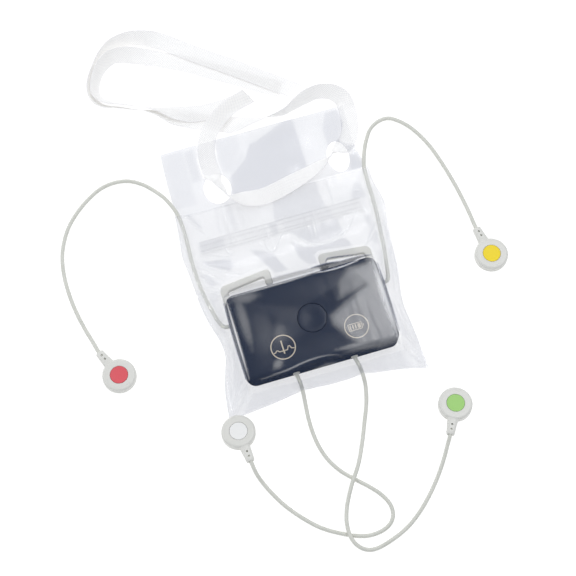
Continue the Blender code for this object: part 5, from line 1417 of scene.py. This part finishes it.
def back_look(x, y):
    """The back film's tone and cover: whiter in the header, apart from its clear patches, with painted
    highlights along its creases.
    """
    header = ramp((y - 79) / 1.0)
    whiteness = (0.4 + 0.1 * header) * (1 - header * clearness(x, y, BACK_CLEAR, 1.4))
    whiteness = np.maximum(whiteness, 0.55 * inside_share(x, y, BACK_BAND, 2.5) * header)
    # Painted highlights along the header's creases.
    strong = creases(x, y, BACK_CREASE_HIGHLIGHTS)[0] * header
    weld = 0.5 * (1 - ramp(edge_distance(x, y) / 1.5))
    lightness = np.maximum(np.maximum(whiteness, strong), weld)
    return lightness, 0.1 + 0.09 * header - 0.14 * header * clinging(x, y)


def front_film(finish, wires):
    """The front film, from the lower weld to its mouth."""
    x, y = film_spots(FRONT_STEP, MOUTH)
    mesh = closed_sheet("front_film", x, y, front_height(x, y, wires))
    paint(mesh, front_look)
    obj = add_piece("pouch_front_sheet", smooth_shading(mesh, 70), finish)
    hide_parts("pouch_front_film")


def back_film(finish):
    """The back film with its header and the two punched holes."""
    x, y = film_spots(BACK_STEP, HEADER_TOP)
    lift = 0.5 * np.maximum(clouds(x, y, (24, 30), 5.0) + 0.5, 0) * ramp((y - 84) / 10)
    steps = []
    for middle_x, middle_y, half_x, half_y in HOLES:
        hole = cylinder("hole", half_y * MM, -MM, 6 * MM, sides=72)
        hole.transform(Matrix.Scale(half_x / half_y, 4, (1, 0, 0)))
        hole.transform(Matrix.Translation((middle_x * MM, middle_y * MM, 0)))
        steps.append((CUT, hole))
    mesh = combined("back_film", closed_sheet("back_film", x, y, back_rise(y) + lift), steps)
    paint(mesh, back_look)
    obj = add_piece("pouch_back_sheet", smooth_shading(mesh, 70), finish)
    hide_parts("pouch_back_film")


def rib_tree(finish):
    """The tree of a zip track: two ribs side by side, with inputs for their places and their thickness."""
    tree = bpy.data.node_groups.new("zip_ribs", "GeometryNodeTree")
    for name in ("Start", "End", "First", "Apart"):
        tree.interface.new_socket(name, in_out="INPUT", socket_type="NodeSocketVector")
    tree.interface.new_socket("Radius", in_out="INPUT", socket_type="NodeSocketFloat")
    tree.interface.new_socket("Geometry", in_out="OUTPUT", socket_type="NodeSocketGeometry")
    sizes = add_node(tree, "NodeGroupInput", "Radius", {}).node.outputs
    ends = {"Start": sizes["Start"], "End": sizes["End"]}
    run = add_node(tree, "GeometryNodeCurvePrimitiveLine", "Curve", ends)
    circle = {"Resolution": 10, "Radius": sizes["Radius"]}
    bead = add_node(tree, "GeometryNodeCurvePrimitiveCircle", "Curve", circle)
    sweep = {"Curve": run, "Profile Curve": bead, "Fill Caps": True}
    rib = add_node(tree, "GeometryNodeCurveToMesh", "Mesh", sweep)
    line = {"Count": 2, "Start Location": sizes["First"], "Offset": sizes["Apart"]}
    spots = add_node(tree, "GeometryNodeMeshLine", "Mesh", line)
    copies = {"Points": spots, "Instance": rib}
    pair = add_node(tree, "GeometryNodeInstanceOnPoints", "Instances", copies)
    real = add_node(tree, "GeometryNodeRealizeInstances", "Geometry", {"Geometry": pair})
    made = add_node(tree, "GeometryNodeSetMaterial", "Geometry", {"Geometry": real, "Material": finish})
    add_node(tree, "NodeGroupOutput", None, {"Geometry": made})
    return tree


def zip_tracks(finish):
    """The press-to-close tracks: thin ribs along the rear film, and beside them those of the front film."""
    tree = rib_tree(finish)
    for name, apart in RIBS_APART.items():
        low, high = box_corners(name)
        sizes = {
            "Start": (low.x, 0.0, low.z + RIB_RADIUS),
            "End": (high.x, 0.0, low.z + RIB_RADIUS),
            "First": (0.0, (low.y + high.y) / 2 - apart / 2, 0.0),
            "Apart": (0.0, apart, 0.0),
            "Radius": RIB_RADIUS,
        }
        guide = add_object(name, bpy.data.meshes.new(name))
        ribs = guide.modifiers.new("ribs", "NODES")
        ribs.node_group = tree
        for socket in tree.interface.items_tree:
            if socket.name in sizes:
                ribs[socket.identifier] = sizes[socket.name]
        obj = add_piece(f"pouch_{name}", smooth_shading(final_mesh(guide), 50), None)
        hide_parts(name)


# Neck strap


def strap_row(x, y, roll, layers):
    """One row of the strap's tables as metres, radians and layers."""
    return Vector((HOLE_MIDDLE.x + x * HOLE_REACH, HOLE_MIDDLE.y + y * HOLE_REACH, radians(roll), layers))


def strap_line(row, across):
    """The strap's two edge points where its middle, roll and height are as in row."""
    roll = row[2]
    reach = Vector((across.x * cos(roll), across.y * cos(roll), sin(roll))) * STRAP_WIDTH / 2
    low = 2 * TABLE_GAP + row[3] * STRAP_LAYER
    middle = Vector((row[0], row[1], low + abs(reach.z) + STRAP_THICKNESS / 2))
    return middle + reach, middle - reach


def strap_lines(shares):
    """The strap's edge points along the smooth line of a table."""
    rows = smooth_curve([strap_row(*share) for share in shares], STRAP_STEP, 2)
    lines = []
    for i, row in enumerate(rows):
        way = (rows[min(i + 1, len(rows) - 1)] - rows[max(i - 1, 0)]).xy.normalized()
        lines.append(strap_line(row, Vector((-way.y, way.x))))
    return lines


def neck_strap(finish):
    """The neck strap: one ribbon through both holes, its fold laid flat, its weave placed by a UV map."""
    fold = Vector((cos(STRAP_FOLD_HEADING), sin(STRAP_FOLD_HEADING)))
    outer = strap_lines(STRAP_OUTER_SHARES)
    inner = strap_lines(STRAP_INNER_SHARES)
    outer[-1] = strap_line(strap_row(*STRAP_OUTER_SHARES[-1]), -fold)
    inner[0] = strap_line(strap_row(*STRAP_INNER_SHARES[0]), fold)
    lines = outer + inner
    middles = [(a + b) / 2 for a, b in lines]
    travelled = [0.0]
    for a, b in zip(middles, middles[1:]):
        travelled.append(travelled[-1] + (b - a).length)
    bm = bmesh.new()
    weave = bm.loops.layers.uv.new("weave")
    down = len(lines) - 1
    bmesh.ops.create_grid(bm, x_segments=down, y_segments=STRAP_COLUMNS, size=1)
    marks = {}
    for vert in bm.verts:
        i = round((vert.co.x + 1) / 2 * down)
        t = (vert.co.y + 1) / 2
        marks[vert.index] = (t * STRAP_WIDTH / STRAP_THREAD, travelled[i] / STRAP_THREAD)
        vert.co = lines[i][1].lerp(lines[i][0], t)
    for face in bm.faces:
        for loop in face.loops:
            loop[weave].uv = marks[loop.vert.index]
    guide = add_object("strap_guide", plain_mesh("neck_strap", bm))
    thicken = guide.modifiers.new("thickness", "SOLIDIFY")
    thicken.thickness = STRAP_THICKNESS * 0.6
    thicken.offset = 0
    strap = add_piece("neck_strap_ribbon", smooth_shading(final_mesh(guide), 60), finish)
    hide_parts("neck_strap")


def dress():
    """Makes every piece; the stage comes first, then the clips with their leads."""
    housing = moulded_plastic("abs_warm_grey_moulded", "D9D9D3", "E4E3DD", 0.42)
    navy = moulded_plastic("abs_blue_grey_moulded", "1D2534", "252E3F", 0.28, gloss=0.16)
    matte_walls(navy, 0.16)
    beige = moulded_plastic("abs_beige_moulded", "E2E1D9", "ECEBE5", 0.45)
    rubber = moulded_plastic("elastomer_grey_moulded", "CBCBC4", "D8D8D2", 0.6)
    nickel = metal("nickel_plated_brass_pressed", "C9CACB", "DEDEDD", 0.22)
    jacket = lead_jacket()
    set_stage()
    wires = []
    for name, spot in CLIPS.items():
        colour = spot["colour"]
        disc = moulded_plastic(f"abs_{name}_moulded", colour, colour, 0.5, gloss=0.3)
        pieces = clip(name, housing, disc, nickel)
        sleeve(name, rubber)
        wires.append(lead(name, jacket))
    front_cover(navy)
    rear_cover(beige)
    button(navy)
    icons(pad_printed_ink())
    vinyl = clear_film("vinyl_film_calendered")
    back_film(vinyl)
    front_film(vinyl, wires)
    zip_tracks(clear_plastic("polyethylene_track_extruded", "F8F9FC", 0.035))
    neck_strap(woven_ribbon())
    hidden_parts()


dress()
